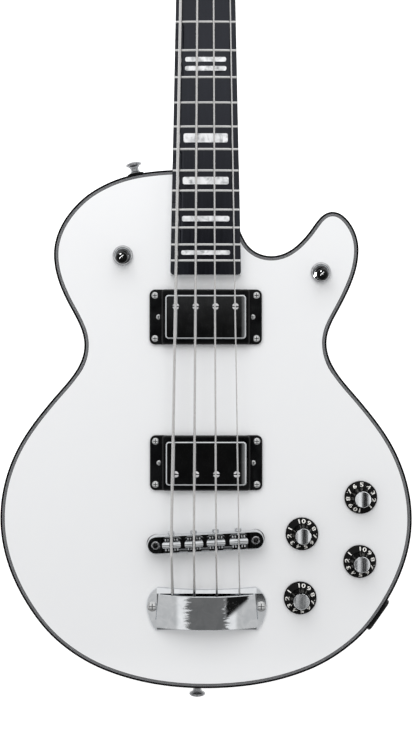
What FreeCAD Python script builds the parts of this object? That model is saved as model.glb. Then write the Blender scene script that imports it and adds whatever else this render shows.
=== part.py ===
import FreeCAD, Part
import math
import os

# Millimetres and degrees. +Z leaves the front face, +Y runs to the headstock, +X is the treble side.
# Y = 0 is the end of the scale at the bridge, X = 0 the centre line, Z = 0 the back of the body.
V = FreeCAD.Vector

# Fits
glue_gap = 0.02
screw_gap = 0.05
run_gap = 0.05
move_gap = 0.35
# How far cutting shapes reach past the faces they open
overshoot = 1.0

# Body
body_thickness = 45.0
back_edge_radius = 4.0
top_wood = 9.0
wire_radius = 4.0
wire_lift = 6.0
# Outline corners as x, y and heading, clockwise seen from the front
body_outline = [
    (0.0, -140.6, 180.0), (-87.6, -125.0, 158.2), (-130.1, -98.8, 138.4), (-158.0, -63.9, 121.0),
    (-179.4, 8.0, 90.0), (-165.1, 67.1, 63.3), (-134.4, 110.8, 50.0), (-106.0, 159.0, 90.0),
    (-119.0, 193.7, 118.4), (-132.6, 238.3, 90.0), (-109.3, 285.1, 43.1), (-83.1, 301.6, 23.5),
    (-30.7, 311.9, 2.9), (2.0, 311.0, -14.0), (25.0, 283.0, -90.0), (34.7, 249.4, -60.0),
    (57.4, 236.9, 0.0), (90.6, 257.9, 52.4), (110.7, 275.5, 0.0), (127.9, 262.7, -59.3),
    (133.5, 242.2, -90.0), (118.0, 193.7, -117.9), (105.5, 161.0, -90.0), (134.4, 110.8, -50.0),
    (165.2, 67.1, -63.3), (180.0, 7.0, -90.0), (158.5, -63.9, -121.0), (131.0, -98.8, -138.4),
    (89.0, -125.0, -158.2)]
binding_depth = 6.0
binding_plies = [1.55, 0.4, 0.55, 0.4, 0.95]
binding_edge_round = 0.5

# Neck and fretboard
scale_length = 781.0
fret_count = 21
nut_width = 38.2
board_end_width = 61.2
board_overhang = 12.2
board_thickness = 6.0
board_radius = 350.0
board_corner = 3.0
neck_rise = 6.0
neck_depth_nut = 15.5
neck_depth_heel = 18.0
neck_lip = 2.5
heel_start = 352.0
heel_floor = 12.0
heel_length = 36.0
heel_end_gap = 30.0
# Share of the heel's length and of its fall, from the neck to the body
heel_curve = [(0.0, 0.0), (0.25, 0.05), (0.5, 0.24), (0.75, 0.6), (1.0, 0.95), (1.15, 1.0)]
tenon_width = 38.0
tenon_floor = 22.0
fret_width = 2.4
fret_height = 1.1
tang_width = 0.6
tang_depth = 1.6
fret_inset = 0.3
marker_margin = 9.1
marker_depth = 1.6
marker_corner = 1.5
marker_share = {3: 0.44, 5: 0.44, 7: 0.43, 9: 0.42, 15: 0.40, 17: 0.37, 19: 0.30, 21: 0.28}
double_marker_fret = 12
double_marker_bar = 4.0
double_marker_step = 7.8
side_dot_radius = 1.1
side_dot_depth = 2.0
nut_thickness = 5.0
nut_height = 3.1
nut_witness = 1.0
slot_run = 9.0
rod_radius = 2.5
rod_drop = 4.6
rod_inset = 20.0
rod_room = 2.0
rod_nut_radius = 3.6
rod_nut_length = 11.0
rod_nut_start = 6.0

# Headstock, measured in its own plane from the far side of the nut
head_angle = 7.0
head_thickness = 13.0
veneer_thickness = 2.0
veneer_start = 0.6
head_crown = 1.5
head_foot_half = 8.0
head_foot = 6.0
head_outline = [(33.0, 30.0, 65.0), (40.5, 62.0, 88.0), (39.5, 148.0, 92.0), (27.0, 176.0, 158.0),
                (0.0, 182.0, 180.0)]
rod_pocket_width = 13.0
rod_pocket_start = 2.0
rod_pocket_end = 34.0
rod_pocket_depth = 9.5
rod_cover_start = 1.5
rod_cover_width = 26.0
rod_cover_tip_width = 17.4
rod_cover_corner = 3.0
rod_cover_length = 44.0
rod_cover_thickness = 2.2

# Tuners
tuner_side = 25.0
tuner_near = 56.0
tuner_far = 124.0
gear_teeth = 20
gear_radius = 7.8
gear_root = 6.35
gear_thickness = 3.6
tooth_root_share = 0.24
tooth_tip_share = 0.1
worm_mean_radius = 3.2
worm_throw = 0.7
worm_turns = 5
worm_steps = 8
mesh_gap = 0.35
worm_shaft_radius = 2.4
housing_depth = 12.0
housing_wall = 1.6
housing_corner = 4.0
housing_edge = 1.2
housing_inner = 12.0
housing_outer = 14.0
lug_wall = 0.6
lug_side = 1.5
post_radius = 4.6
post_waist = 5.2
post_head_radius = 6.4
post_head_height = 3.2
post_bevel = 0.8
post_slot = 3.0
post_hole_floor = 2.0
bushing_radius = 6.6
bushing_flange_radius = 8.6
bushing_flange = 1.8
bushing_length = 9.0
bushing_edge = 0.8
key_stand_off = 6.0
key_length = 20.0
key_width = 21.0
key_thickness = 6.4
key_corner = 7.5
key_edge = 2.3
key_root = 3.0
key_collar_width = 1.8
key_collar = 2.2

# Strings, bass to treble
string_radius = [1.325, 1.075, 0.825, 0.575]
string_x_nut = [-15.7, -5.2, 5.3, 15.7]
string_x_bridge = [-29.4, -10.05, 8.9, 28.5]
string_x_tail = [-28.7, -9.8, 9.9, 29.7]
string_turns = [1.75, 2.0, 2.25, 2.75]
string_lift_nut = 1.35
string_lift_bridge = 5.4
string_coil_gap = 0.5
string_bend = 14.0
string_rest = 1.0
coil_samples = 12
ball_radius = 2.7
ball_length = 5.0

# Pickups
pickup_x = [0.0, 0.4]
neck_pickup_gap = 12.4
bridge_pickup_y = 56.6
pickup_pole_y = [9.0, -9.2]
pole_pitch = [17.2, 17.7]
ring_length = 98.0
ring_width = 48.0
ring_corner = 5.0
ring_flange_edge = 0.8
ring_flange = 3.2
ring_block_length = 77.0
ring_block_corner = 3.0
ring_height = 7.0
ring_edge = 1.4
ring_screw_x = 44.2
ring_screw_y = 18.8
height_screw_x = 40.95
cover_length = 70.0
cover_width = 38.0
cover_corner = 3.0
cover_wall = 1.0
cover_height = 14.0
cover_rise = 4.4
cover_edge = 1.1
pole_radius = 2.8
pole_rise = 0.6
pole_crown = 0.5
pole_slot = 0.9
pickup_foot = 10.0
pickup_plate = 1.8
coil_room = 0.5
core_corner = 2.0
pickup_cavity_depth = 23.0
cavity_room = 1.5

# Bridge
bridge_centre = (0.0, -11.2)
bridge_angle = 3.0
bridge_length = 101.3
bridge_width = 15.8
bridge_corner = 7.8
bridge_lift = 5.0
bridge_height = 10.0
bridge_wall = 1.0
bridge_floor = 1.6
bridge_channel = 76.0
bridge_channel_corner = 1.0
bridge_edge = 0.8
post_spacing = 86.6
post_top_radius = 3.45
post_crown = 0.5
post_hole_gap = 0.7
post_socket = 4.4
post_socket_depth = 3.0
post_wheel_radius = 8.0
post_wheel = 3.0
post_thread_radius = 3.4
post_thread_length = 26.0
saddle_width = 12.2
saddle_depth = 10.2
saddle_rise = 0.6
saddle_round = 1.6
saddle_valley = 3.3
saddle_valley_depth = 2.0
saddle_travel = 1.7
crest_width = 15.8
crest_depth = 5.6
crest_drop = 1.5
crest_round = 1.9
crest_corner = 1.8
crest_lip = 0.3
saddle_screw_radius = 1.5
saddle_head_radius = 3.0
saddle_head = 2.5
saddle_head_bevel = 0.6
saddle_slot = 0.8
saddle_slot_depth = 1.0
saddle_screw_drop = 4.0

# Tailpiece
tail_x = 0.9
tail_front = -51.7
tail_front_dip = 2.1
tail_rear = -89.4
tail_half_front = 42.5
tail_half_ear = 52.5
tail_half_rear = 45.0
tail_ear_y = -68.7
# How far the ear's outline bows out from the straight line, before and behind its tip
tail_shoulder = (2.4, 1.6)
tail_flank = (1.4, -0.6)
tail_plate = 2.0
tail_edge = 0.6
tail_groove = 0.8
tail_groove_depth = 1.0
tail_groove_end = -80.0
tail_screw_x = 47.5
arch_front = -57.6
arch_rear = -86.6
arch_half_front = 42.0
arch_half_rear = 44.5
arch_rise = 12.0
arch_foot = 2.0
arch_wall = 1.5
arch_edge = 0.5
anchor_front = -61.0
anchor_depth = 5.0
anchor_height = 4.4
anchor_lift = 2.6
anchor_gap = 0.2

# Controls
knob_place = [(135.2, 26.4), (83.9, -5.4), (134.3, -29.5), (82.3, -61.3)]
knob_skirt_radius = 14.25
knob_skirt_edge = 1.3
knob_shoulder_radius = 9.0
knob_shoulder = 3.8
knob_waist_radius = 7.9
knob_waist = 8.5
knob_top_radius = 7.6
knob_height = 15.6
knob_lift = 0.8
knob_hollow_radius = 7.4
knob_hollow = 5.0
cap_radius = 6.9
cap_height = 1.6
cap_rim = 0.3
cap_dish = 0.75
shaft_radius = 3.0
shaft_foot = 2.0
pot_radius = 12.0
pot_height = 9.0
pot_bushing_radius = 4.7
pot_nut_radius = 6.6
pot_nut = 2.2
pot_thread_rise = 1.0
pot_floor = 1.5
control_room = 19.0
cover_lip = 6.4
cover_plate = 2.4

# Toggle switches
switch_place = [(-72.3, 237.2), (100.5, 222.5)]
switch_tilt = 8.0
switch_bushing_radius = 6.0
switch_bore = 4.3
switch_nut_radius = 8.95
switch_nut = 3.4
switch_nut_edge = 1.7
switch_nut_bevel = 0.7
switch_rise = 2.6
switch_pivot_drop = 3.0
switch_frame_length = 27.0
switch_frame_width = 15.0
switch_frame_depth = 20.0
switch_plate = 2.0
switch_cavity_radius = 16.2
cover_screw_count = 3
lever_radius = 1.9
lever_tail = 14.0
lever_ball_radius = 3.3
lever_pin_radius = 1.0
lever_pin_length = 10.8
tip_radius = 5.3
tip_base_radius = 3.6
tip_length = 14.5
tip_lift = 3.8
tip_socket = 7.2
tip_widest = 9.9

# Output jack and strap buttons
rim_height = 22.0
jack_place = (149.7, -77.4)
jack_normal = (0.818, -0.575)
jack_plate_side = 31.5
jack_plate_corner = 5.0
jack_plate_thickness = 5.1
jack_plate_edge = 0.8
jack_plate_room = 1.0
jack_seat = 0.9
jack_bore_radius = 3.2
jack_sleeve_radius = 4.7
jack_nut_radius = 7.0
jack_nut = 2.4
jack_cup = 3.4
jack_cup_room = 1.2
jack_sleeve_rise = 0.8
jack_body_radius = 9.0
jack_body_length = 24.0
jack_floor = 2.0
jack_channel_radius = 11.0
jack_channel_length = 46.0
strap_place = [(-62.0, 308.6), (-7.6, -140.2)]
strap_normal = [(-0.206, 0.979), (0.0, -1.0)]
strap_seat = 0.7
strap_seat_room = 0.6
strap_washer_radius = 7.2
strap_washer = 4.0
strap_base_radius = 5.2
strap_waist_radius = 3.7
strap_head_radius = 7.2
strap_height = 9.8
strap_base = 0.8
strap_rim = 2.6
strap_head_inset = 1.6
strap_head_bevel = 0.8

# Screws
screw_radius = 1.4
screw_head_radius = 2.9
screw_head = 1.7
screw_length = 12.0
screw_wall = 1.2
height_screw_head_radius = 2.2
big_screw_radius = 2.3
big_screw_head_radius = 4.4
big_screw_head = 2.8
big_screw_length = 26.0
cross_share = 0.6
cross_width = 0.7
cross_depth = 0.9

# Heights, lengths and places that follow from the values above
board_end = scale_length * 2 ** (-fret_count / 12.0) - board_overhang
rod_start = board_end + rod_inset
pickup_centre = [(pickup_x[0], board_end - neck_pickup_gap - ring_width / 2), (pickup_x[1], bridge_pickup_y)]
neck_top = body_thickness + neck_rise
board_top = neck_top + board_thickness
fret_top = board_top + fret_height
head_start = scale_length + nut_thickness
binding_width = sum(binding_plies)
cavity_roof = body_thickness - top_wood
ring_top = body_thickness + ring_height
pickup_top = ring_top + cover_rise
bridge_bottom = body_thickness + bridge_lift
bridge_top = bridge_bottom + bridge_height
worm_pitch = math.pi * (gear_radius + gear_root) / gear_teeth
worm_reach = gear_radius + mesh_gap + worm_mean_radius - worm_throw
gear_level = -head_thickness - housing_depth / 2
bushing_top = veneer_thickness + bushing_flange
head_frame = FreeCAD.Placement(V(0, head_start, neck_top), FreeCAD.Rotation(V(1, 0, 0), -head_angle))
tuner_place = [(-1, tuner_near), (-1, tuner_far), (1, tuner_far), (1, tuner_near)]
switch_pivot = body_thickness - switch_pivot_drop


def heading(degrees):
    turn = math.radians(degrees)
    return V(math.cos(turn), math.sin(turn), 0)


def unit(vector):
    return vector * (1.0 / vector.Length)


def arc_middle(start, direction, end):
    chord = end - start
    along = unit(chord)
    side = direction - along * direction.dot(along)
    if side.Length < 1e-7:
        return None
    return start + chord * 0.5 + unit(side) * (chord.Length / 2 * math.tan(direction.getAngle(chord) / 2))


def arc_edge(start, middle, end):
    if middle is None:
        return Part.makeLine(start, end)
    return Part.Arc(start, middle, end).toShape()


def biarc(start, start_way, end, end_way):
    span = end - start
    turn = 2 * (1 - start_way.dot(end_way))
    reach = span.dot(start_way + end_way)
    if turn < 1e-9:
        arm = span.dot(span) / (4 * span.dot(end_way))
    else:
        arm = (math.sqrt(reach ** 2 + turn * span.dot(span)) - reach) / turn
    meet = (start + end + (start_way - end_way) * arm) * 0.5
    return [arc_edge(start, arc_middle(start, start_way, meet), meet),
            arc_edge(meet, arc_middle(end, end_way * -1, meet), end)]


def smooth_edges(knots):
    edges = []
    for first, second in zip(knots, knots[1:]):
        start, end = V(first[0], first[1], 0), V(second[0], second[1], 0)
        edges += biarc(start, heading(first[2]), end, heading(second[2]))
    return edges


def raise_face(face, bottom, top):
    solid = face.extrude(V(0, 0, top - bottom))
    solid.translate(V(0, 0, bottom))
    return solid


def polygon_face(points):
    return Part.Face(Part.makePolygon([V(*point) for point in points + points[:1]]))


def slab(x0, x1, y0, y1, z0, z1):
    return Part.makeBox(x1 - x0, y1 - y0, z1 - z0, V(x0, y0, z0))


def rounded_face(length, width, corner):
    x, y = length / 2, width / 2
    core = polygon_face([(-x, -y, 0), (x, -y, 0), (x, y, 0), (-x, y, 0)])
    return core.makeOffset2D(-corner).makeOffset2D(corner)


def rounded_block(length, width, corner, bottom, top, place=(0.0, 0.0)):
    block = raise_face(rounded_face(length, width, corner), bottom, top)
    block.translate(V(place[0], place[1], 0))
    return block


def rod(radius, start, end):
    return Part.makeCylinder(radius, (end - start).Length, start, end - start)


def upright(radius, x, y, bottom, top):
    return Part.makeCylinder(radius, top - bottom, V(x, y, bottom))


def hex_prism(radius, bottom, top):
    points = [(radius * math.cos(k * math.pi / 3), radius * math.sin(k * math.pi / 3), 0) for k in range(6)]
    return raise_face(polygon_face(points), bottom, top)


def turned(profile):
    # Profile points are radius and height, turned about +Z; a three-value point is the middle of an arc
    corners = [V(point[0], 0, point[1]) for point in profile]
    edges = []
    index = 0
    while index < len(profile):
        following = (index + 1) % len(profile)
        if len(profile[following]) == 3:
            end = (index + 2) % len(profile)
            edges.append(Part.Arc(corners[index], corners[following], corners[end]).toShape())
            index += 2
        else:
            edges.append(Part.makeLine(corners[index], corners[following]))
            index += 1
    return Part.Face(Part.Wire(edges)).revolve(V(0, 0, 0), V(0, 0, 1), 360)


def dome_point(radius, base, top):
    # A point half way up the round dome that stands on a circle at base and is level at top
    height = top - base
    ball = (radius ** 2 + height ** 2) / (2 * height)
    half_turn = math.asin(min(1.0, radius / ball)) / 2
    return (ball * math.sin(half_turn), top - ball * (1 - math.cos(half_turn)), 1)


def dish_point(radius, floor, rim):
    # A point half way out on the round hollow that is level at floor and ends in a circle at rim
    depth = rim - floor
    ball = (radius ** 2 + depth ** 2) / (2 * depth)
    half_turn = math.asin(radius / ball) / 2
    return (ball * math.sin(half_turn), floor + ball * (1 - math.cos(half_turn)), 1)


def placed(shape, placement):
    copy = shape.copy()
    copy.Placement = placement.multiply(copy.Placement)
    return copy


def facing(origin, direction):
    return FreeCAD.Placement(V(*origin), FreeCAD.Rotation(V(0, 0, 1), direction))


def group(solids):
    return Part.makeCompound(solids)


def joined(first, others):
    return first.multiFuse(others).removeSplitter()


def edges_at(shape, level):
    flat = [edge for edge in shape.Edges if edge.BoundBox.ZLength < 1e-4]
    return [edge for edge in flat if abs(edge.BoundBox.ZMax - level) < 1e-4]


# Plan shapes of the body and neck


def outline_wire():
    return Part.Wire(smooth_edges(body_outline + body_outline[:1]))


def body_face(inset=0.0):
    wire = outline_wire()
    return Part.Face(wire.makeOffset2D(-inset)) if inset else Part.Face(wire)


def board_half(y):
    slope = (board_end_width - nut_width) / (scale_length - board_end)
    return (nut_width + slope * (scale_length - y)) / 2


def board_plan(start, end, corner=0.0):
    near, far = board_half(start), board_half(end)
    face = polygon_face([(-near, start, 0), (near, start, 0), (far, end, 0), (-far, end, 0)])
    return face.makeOffset2D(-corner).makeOffset2D(corner) if corner else face


def fret_y(number):
    return scale_length * 2 ** (-number / 12.0)


def crown_drop(x):
    return board_radius - math.sqrt(board_radius ** 2 - x ** 2)


def crown_cylinder(radius):
    return Part.makeCylinder(radius, scale_length, V(0, 0, board_top - board_radius), V(0, 1, 0))


# Screws


def screw(radius, head_radius, head, length):
    body = turned([(0, -length), (radius, -length + radius), (radius, -head / 2), (head_radius, 0),
                   dome_point(head_radius, 0, head / 2), (0, head / 2)])
    long, wide = head_radius * cross_share, cross_width / 2
    bottom = head / 2 - cross_depth
    return body.cut([slab(-long, long, -wide, wide, bottom, head), slab(-wide, wide, -long, long, bottom, head)])


def screw_room(radius, head_radius, head, length):
    return turned([(0, -length - screw_gap), (radius + screw_gap, -length - screw_gap),
                   (radius + screw_gap, -head / 2 - screw_gap), (head_radius + screw_gap, -screw_gap),
                   (head_radius + screw_gap, head), (0, head)])


small_sizes = (screw_radius, screw_head_radius, screw_head, screw_length)
height_sizes = (screw_radius, height_screw_head_radius, screw_head, screw_length)
big_sizes = (big_screw_radius, big_screw_head_radius, big_screw_head, big_screw_length)


def ring_screw_places():
    level = body_thickness + ring_flange
    places = []
    for x, y in pickup_centre:
        for side in (-1, 1):
            for end in (-1, 1):
                places.append(facing((x + side * ring_screw_x, y + end * ring_screw_y, level), V(0, 0, 1)))
    return places


def height_screw_places():
    level = body_thickness + ring_flange
    spots = [(x + side * height_screw_x, y) for x, y in pickup_centre for side in (-1, 1)]
    return [facing((x, y, level), V(0, 0, 1)) for x, y in spots]


def back_screw_places():
    down = V(0, 0, -1)
    level = screw_head / 2
    inset = cover_lip - screw_head_radius - screw_wall
    reach = control_room + inset
    middle = knob_middle()
    places = []
    for x, y in knob_place:
        out = unit(V(x - middle[0], y - middle[1], 0)) * reach
        places.append(facing((x + out.x, y + out.y, level), down))
    reach = switch_cavity_radius + inset
    for x, y in switch_place:
        for turn in range(cover_screw_count):
            out = heading(90 + turn * 360 / cover_screw_count) * reach
            places.append(facing((x + out.x, y + out.y, level), down))
    return places


def jack_screw_places():
    out = V(jack_normal[0], jack_normal[1], 0)
    along = V(-jack_normal[1], jack_normal[0], 0)
    face = jack_origin() + out * jack_plate_thickness
    reach = jack_plate_side / 2 - screw_head_radius - screw_wall
    corners = [(a, b) for a in (-1, 1) for b in (-1, 1)]
    return [facing(face + along * (a * reach) + V(0, 0, b * reach), out) for a, b in corners]


def tail_screw_places():
    level = body_thickness + tail_plate
    return [facing((tail_x + side * tail_screw_x, tail_ear_y, level), V(0, 0, 1)) for side in (-1, 1)]


def strap_screw_places():
    places = []
    for place, normal in zip(strap_place, strap_normal):
        out = unit(V(normal[0], normal[1], 0))
        origin = V(place[0], place[1], rim_height) + out * (strap_washer - strap_seat + strap_height)
        places.append(facing(origin, out))
    return places


def head_screw_places():
    level = veneer_thickness + rod_cover_thickness
    aside = rod_pocket_width / 2 + screw_radius + screw_wall
    inset = screw_head_radius + screw_wall
    spots = [(-aside, rod_cover_start + inset), (aside, rod_cover_start + inset),
             (0, rod_cover_start + rod_cover_length - inset)]
    places = [head_frame.multiply(facing((x, u, level), V(0, 0, 1))) for x, u in spots]
    for side, u in tuner_place:
        spot = (side * tuner_side, u + tuner_lug(), -head_thickness - housing_wall)
        places.append(head_frame.multiply(facing(spot, V(0, 0, -1))))
    return places


def screws():
    small = screw(*small_sizes)
    big = screw(*big_sizes)
    fine = screw(*height_sizes)
    places = ring_screw_places() + back_screw_places() + jack_screw_places() + head_screw_places()
    solids = [placed(small, place) for place in places]
    solids += [placed(fine, place) for place in height_screw_places()]
    return group(solids + [placed(big, place) for place in tail_screw_places() + strap_screw_places()])


def screw_rooms(places, sizes=small_sizes):
    room = screw_room(*sizes)
    return [placed(room, place) for place in places]


# Body and its trim


def knob_middle():
    count = len(knob_place)
    return (sum(x for x, y in knob_place) / count, sum(y for x, y in knob_place) / count)


def control_face(reach):
    x, y = knob_middle()
    around = sorted(knob_place, key=lambda spot: math.atan2(spot[1] - y, spot[0] - x))
    return polygon_face([(spot[0], spot[1], 0) for spot in around]).makeOffset2D(reach)


def jack_origin():
    out = V(jack_normal[0], jack_normal[1], 0)
    return V(jack_place[0], jack_place[1], rim_height) - out * jack_seat


def on_jack(shape):
    out = V(jack_normal[0], jack_normal[1], 0)
    turn = FreeCAD.Rotation(V(-jack_normal[1], jack_normal[0], 0), V(0, 0, 1), out, "ZXY")
    return placed(shape, FreeCAD.Placement(jack_origin(), turn))


def neck_pocket():
    half = tenon_width / 2
    return slab(-half, half, board_end, heel_start, tenon_floor, body_thickness + neck_rise)


def pickup_cavities():
    rooms = []
    for x, y in pickup_centre:
        floor = body_thickness - pickup_cavity_depth
        wide = cover_length + 2 * cavity_room
        deep = cover_width + 2 * cavity_room
        rooms.append(rounded_block(wide, deep, cover_corner, floor, body_thickness, (x, y)))
        feet = 2 * height_screw_x + pickup_foot + 2 * cavity_room
        deep = pickup_foot + 2 * cavity_room
        rooms.append(rounded_block(feet, deep, cover_corner, floor, body_thickness, (x, y)))
    return rooms


def control_cavities():
    rooms = [raise_face(control_face(control_room), 0, cavity_roof)]
    rooms.append(raise_face(control_face(control_room + cover_lip), 0, cover_plate))
    for x, y in switch_place:
        rooms.append(upright(switch_cavity_radius, x, y, 0, cavity_roof))
        rooms.append(upright(switch_cavity_radius + cover_lip, x, y, 0, cover_plate))
        rooms.append(upright(switch_bushing_radius + screw_gap, x, y, cavity_roof, body_thickness))
    for x, y in knob_place:
        rooms.append(upright(pot_bushing_radius + screw_gap, x, y, cavity_roof, body_thickness))
    return rooms


def wire_channels():
    level = body_thickness - pickup_cavity_depth + wire_lift
    spots = [pickup_centre[0], pickup_centre[1], knob_place[1]]
    lines = list(zip(spots, spots[1:])) + [(pickup_centre[0], spot) for spot in switch_place]
    return [rod(wire_radius, V(a[0], a[1], level), V(b[0], b[1], level)) for a, b in lines]


def jack_rooms():
    half = (jack_plate_side + jack_plate_room) / 2
    seat = slab(-half, half, -half, half, 0, jack_plate_thickness * 3)
    return [on_jack(seat), on_jack(upright(jack_channel_radius, 0, 0, -jack_channel_length, 0))]


def strap_seats():
    seats = []
    for place, normal in zip(strap_place, strap_normal):
        out = unit(V(normal[0], normal[1], 0))
        start = V(place[0], place[1], rim_height) - out * strap_seat
        seats.append(rod(strap_washer_radius + strap_seat_room, start, start + out * strap_washer * 2))
    return seats


def post_spots():
    way = heading(bridge_angle) * (post_spacing / 2)
    return [(bridge_centre[0] + side * way.x, bridge_centre[1] + side * way.y) for side in (-1, 1)]


def body():
    block = raise_face(body_face(), 0, body_thickness)
    block = block.makeFillet(back_edge_radius, edges_at(block, 0))
    rim = body_face().cut(body_face(binding_width))
    ledge = raise_face(rim, body_thickness - binding_depth, body_thickness)
    rooms = [ledge, neck_pocket()] + pickup_cavities() + control_cavities() + wire_channels()
    rooms += jack_rooms() + strap_seats()
    bottom = body_thickness - post_thread_length
    for x, y in post_spots():
        rooms.append(upright(post_thread_radius + screw_gap, x, y, bottom, body_thickness))
    rooms += screw_rooms(ring_screw_places() + back_screw_places() + jack_screw_places())
    rooms += screw_rooms(tail_screw_places() + strap_screw_places(), big_sizes)
    return block.cut(rooms)


def binding(first_ply):
    rings = []
    for ply in range(first_ply, len(binding_plies), 2):
        outer = sum(binding_plies[:ply])
        inner = outer + binding_plies[ply]
        face = body_face(outer).cut(body_face(inner))
        ring = raise_face(face, body_thickness - binding_depth, body_thickness)
        if ply == 0:
            rim = outline_wire()
            rim.translate(V(0, 0, body_thickness))
            top = edges_at(ring, body_thickness)
            outside = [edge for edge in top if rim.distToShape(edge)[0] < 1e-4]
            ring = ring.makeFillet(binding_edge_round, outside)
        rings.append(ring.cut(neck_pocket()))
    return group(rings)


def back_covers():
    control = raise_face(control_face(control_room + cover_lip - glue_gap), 0, cover_plate)
    plates = [control]
    for x, y in switch_place:
        plates.append(upright(switch_cavity_radius + cover_lip - glue_gap, x, y, 0, cover_plate))
    rooms = screw_rooms(back_screw_places())
    return group([plate.cut(rooms) for plate in plates])


# Neck


def neck_section(y, depth):
    half = board_half(y)
    low = neck_top - neck_lip
    left, right = V(-half, y, neck_top), V(half, y, neck_top)
    left_low, right_low = V(-half, y, low), V(half, y, low)
    bottom = V(0, y, neck_top - depth)
    return Part.Wire([Part.makeLine(left, right), Part.makeLine(right, right_low),
                      Part.Arc(right_low, bottom, left_low).toShape(), Part.makeLine(left_low, left)])


def throat_section():
    half = head_outline[0][0]
    u = head_outline[0][1]
    low = -head_thickness + head_crown
    corners = [V(-half, u, 0), V(half, u, 0), V(half, u, low), V(0, u, -head_thickness), V(-half, u, low)]
    left, right, right_low, bottom, left_low = [head_frame.multVec(corner) for corner in corners]
    return Part.Wire([Part.makeLine(left, right), Part.makeLine(right, right_low),
                      Part.Arc(right_low, bottom, left_low).toShape(), Part.makeLine(left_low, left)])


def head_edges(first, second):
    # The two straight throat lines, the outline and its mirror image
    right = smooth_edges(head_outline)
    left = [edge.mirror(V(0, 0, 0), V(1, 0, 0)) for edge in reversed(right)]
    corner = V(head_outline[0][0], head_outline[0][1], 0)
    foot = V(first, second, 0)
    flip = V(-foot.x, foot.y, 0)
    other = V(-corner.x, corner.y, 0)
    ends = [Part.makeLine(flip, foot), Part.makeLine(foot, corner), Part.makeLine(other, flip)]
    return ends + right + left


def head_face(first, second):
    return Part.Face(Part.Wire(Part.__sortEdges__(head_edges(first, second))))


def heel():
    fall = neck_top - heel_floor - neck_depth_heel
    sections = []
    for way, share in heel_curve:
        sections.append(neck_section(heel_start - heel_length * way, neck_depth_heel + fall * share))
    last = neck_section(board_end + heel_end_gap, neck_depth_heel + fall)
    block = Part.makeLoft([sections[-1], last], True, True)
    return Part.makeLoft(sections, True, False).multiFuse([block])


def neck():
    thick, thin = neck_section(heel_start, neck_depth_heel), neck_section(head_start, neck_depth_nut)
    shaft = Part.makeLoft([thick, thin], True, True)
    throat = Part.makeLoft([thin, throat_section()], True, True)
    plate = placed(raise_face(head_face(head_foot_half, head_foot), -head_thickness, 0), head_frame)
    over = raise_face(board_plan(board_end, heel_start), body_thickness, neck_top)
    outside = heel().cut(raise_face(body_face(), 0, body_thickness))
    outside = outside.cut(slab(-board_end_width, board_end_width, 0, heel_start, body_thickness, neck_top))
    tenon = neck_pocket().common(raise_face(body_face(), 0, body_thickness))
    whole = joined(shaft, [throat, plate, over, outside, tenon])
    rooms = [rod_channel(), rod_pocket()] + screw_rooms(head_screw_places())
    rooms += [tuner_bore(side, u) for side, u in tuner_place]
    return whole.cut(rooms)


def rod_axis(y):
    return V(0, y, neck_top - rod_drop)


def rod_channel():
    wide = rod_radius + screw_gap
    start, end = rod_start - rod_room, head_start + rod_nut_start + rod_room
    return slab(-wide, wide, start, end, neck_top - rod_drop - wide, neck_top)


def rod_pocket():
    half = rod_pocket_width / 2
    pocket = slab(-half, half, rod_pocket_start, rod_pocket_end, -rod_pocket_depth, veneer_thickness)
    return placed(pocket, head_frame)


def truss_rod():
    nut_start = head_start + rod_nut_start
    bar = rod(rod_radius, rod_axis(rod_start), rod_axis(nut_start))
    nut = placed(hex_prism(rod_nut_radius, 0, rod_nut_length), facing(rod_axis(nut_start), V(0, 1, 0)))
    return joined(bar, [nut])


def truss_rod_cover():
    foot = rod_cover_width / 2
    tip = rod_cover_tip_width / 2
    start = rod_cover_start
    end = start + rod_cover_length
    face = polygon_face([(-foot, start, 0), (foot, start, 0), (foot, start + foot, 0), (tip, end, 0),
                         (-tip, end, 0), (-foot, start + foot, 0)])
    face = face.makeOffset2D(-rod_cover_corner).makeOffset2D(rod_cover_corner)
    plate = raise_face(face, veneer_thickness, veneer_thickness + rod_cover_thickness)
    return placed(plate, head_frame).cut(screw_rooms(head_screw_places()))


def headstock_veneer():
    sheet = placed(raise_face(head_face(board_half(head_start), veneer_start), 0, veneer_thickness), head_frame)
    rooms = [rod_pocket()] + screw_rooms(head_screw_places())
    rooms += [tuner_bore(side, u) for side, u in tuner_place]
    return sheet.cut(rooms)


def fretboard():
    blank = raise_face(board_plan(board_end, scale_length, board_corner), neck_top, board_top + overshoot)
    square = raise_face(board_plan(board_end + 2 * board_corner, scale_length), neck_top, board_top + overshoot)
    blank = joined(blank, [square]).common(crown_cylinder(board_radius))
    slots = [fret_solid(number, True) for number in range(1, fret_count + 1)]
    return blank.cut(slots + marker_rooms(screw_gap) + side_dots(screw_gap))


def fret_solid(number, room=False):
    y = fret_y(number)
    extra = glue_gap if room else 0.0
    half, tang = fret_width / 2, tang_width / 2 + extra
    level = board_top
    corners = [V(0, y - tang, level), V(0, y - tang, level - tang_depth - extra),
               V(0, y + tang, level - tang_depth - extra), V(0, y + tang, level)]
    edges = [Part.makeLine(a, b) for a, b in zip(corners, corners[1:])]
    if room:
        edges.append(Part.makeLine(corners[3], corners[0]))
    else:
        edges.append(Part.makeLine(corners[3], V(0, y + half, level)))
        edges.append(arc_edge(V(0, y + half, level), V(0, y, level + fret_height), V(0, y - half, level)))
        edges.append(Part.makeLine(V(0, y - half, level), corners[0]))
    reach = board_half(y + half) - fret_inset + extra
    sweep = math.degrees(math.asin(reach / board_radius))
    centre = V(0, 0, board_top - board_radius)
    face = Part.Face(Part.Wire(edges))
    face.rotate(centre, V(0, 1, 0), -sweep)
    return face.revolve(centre, V(0, 1, 0), 2 * sweep)


def frets():
    return group([fret_solid(number) for number in range(1, fret_count + 1)])


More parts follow.
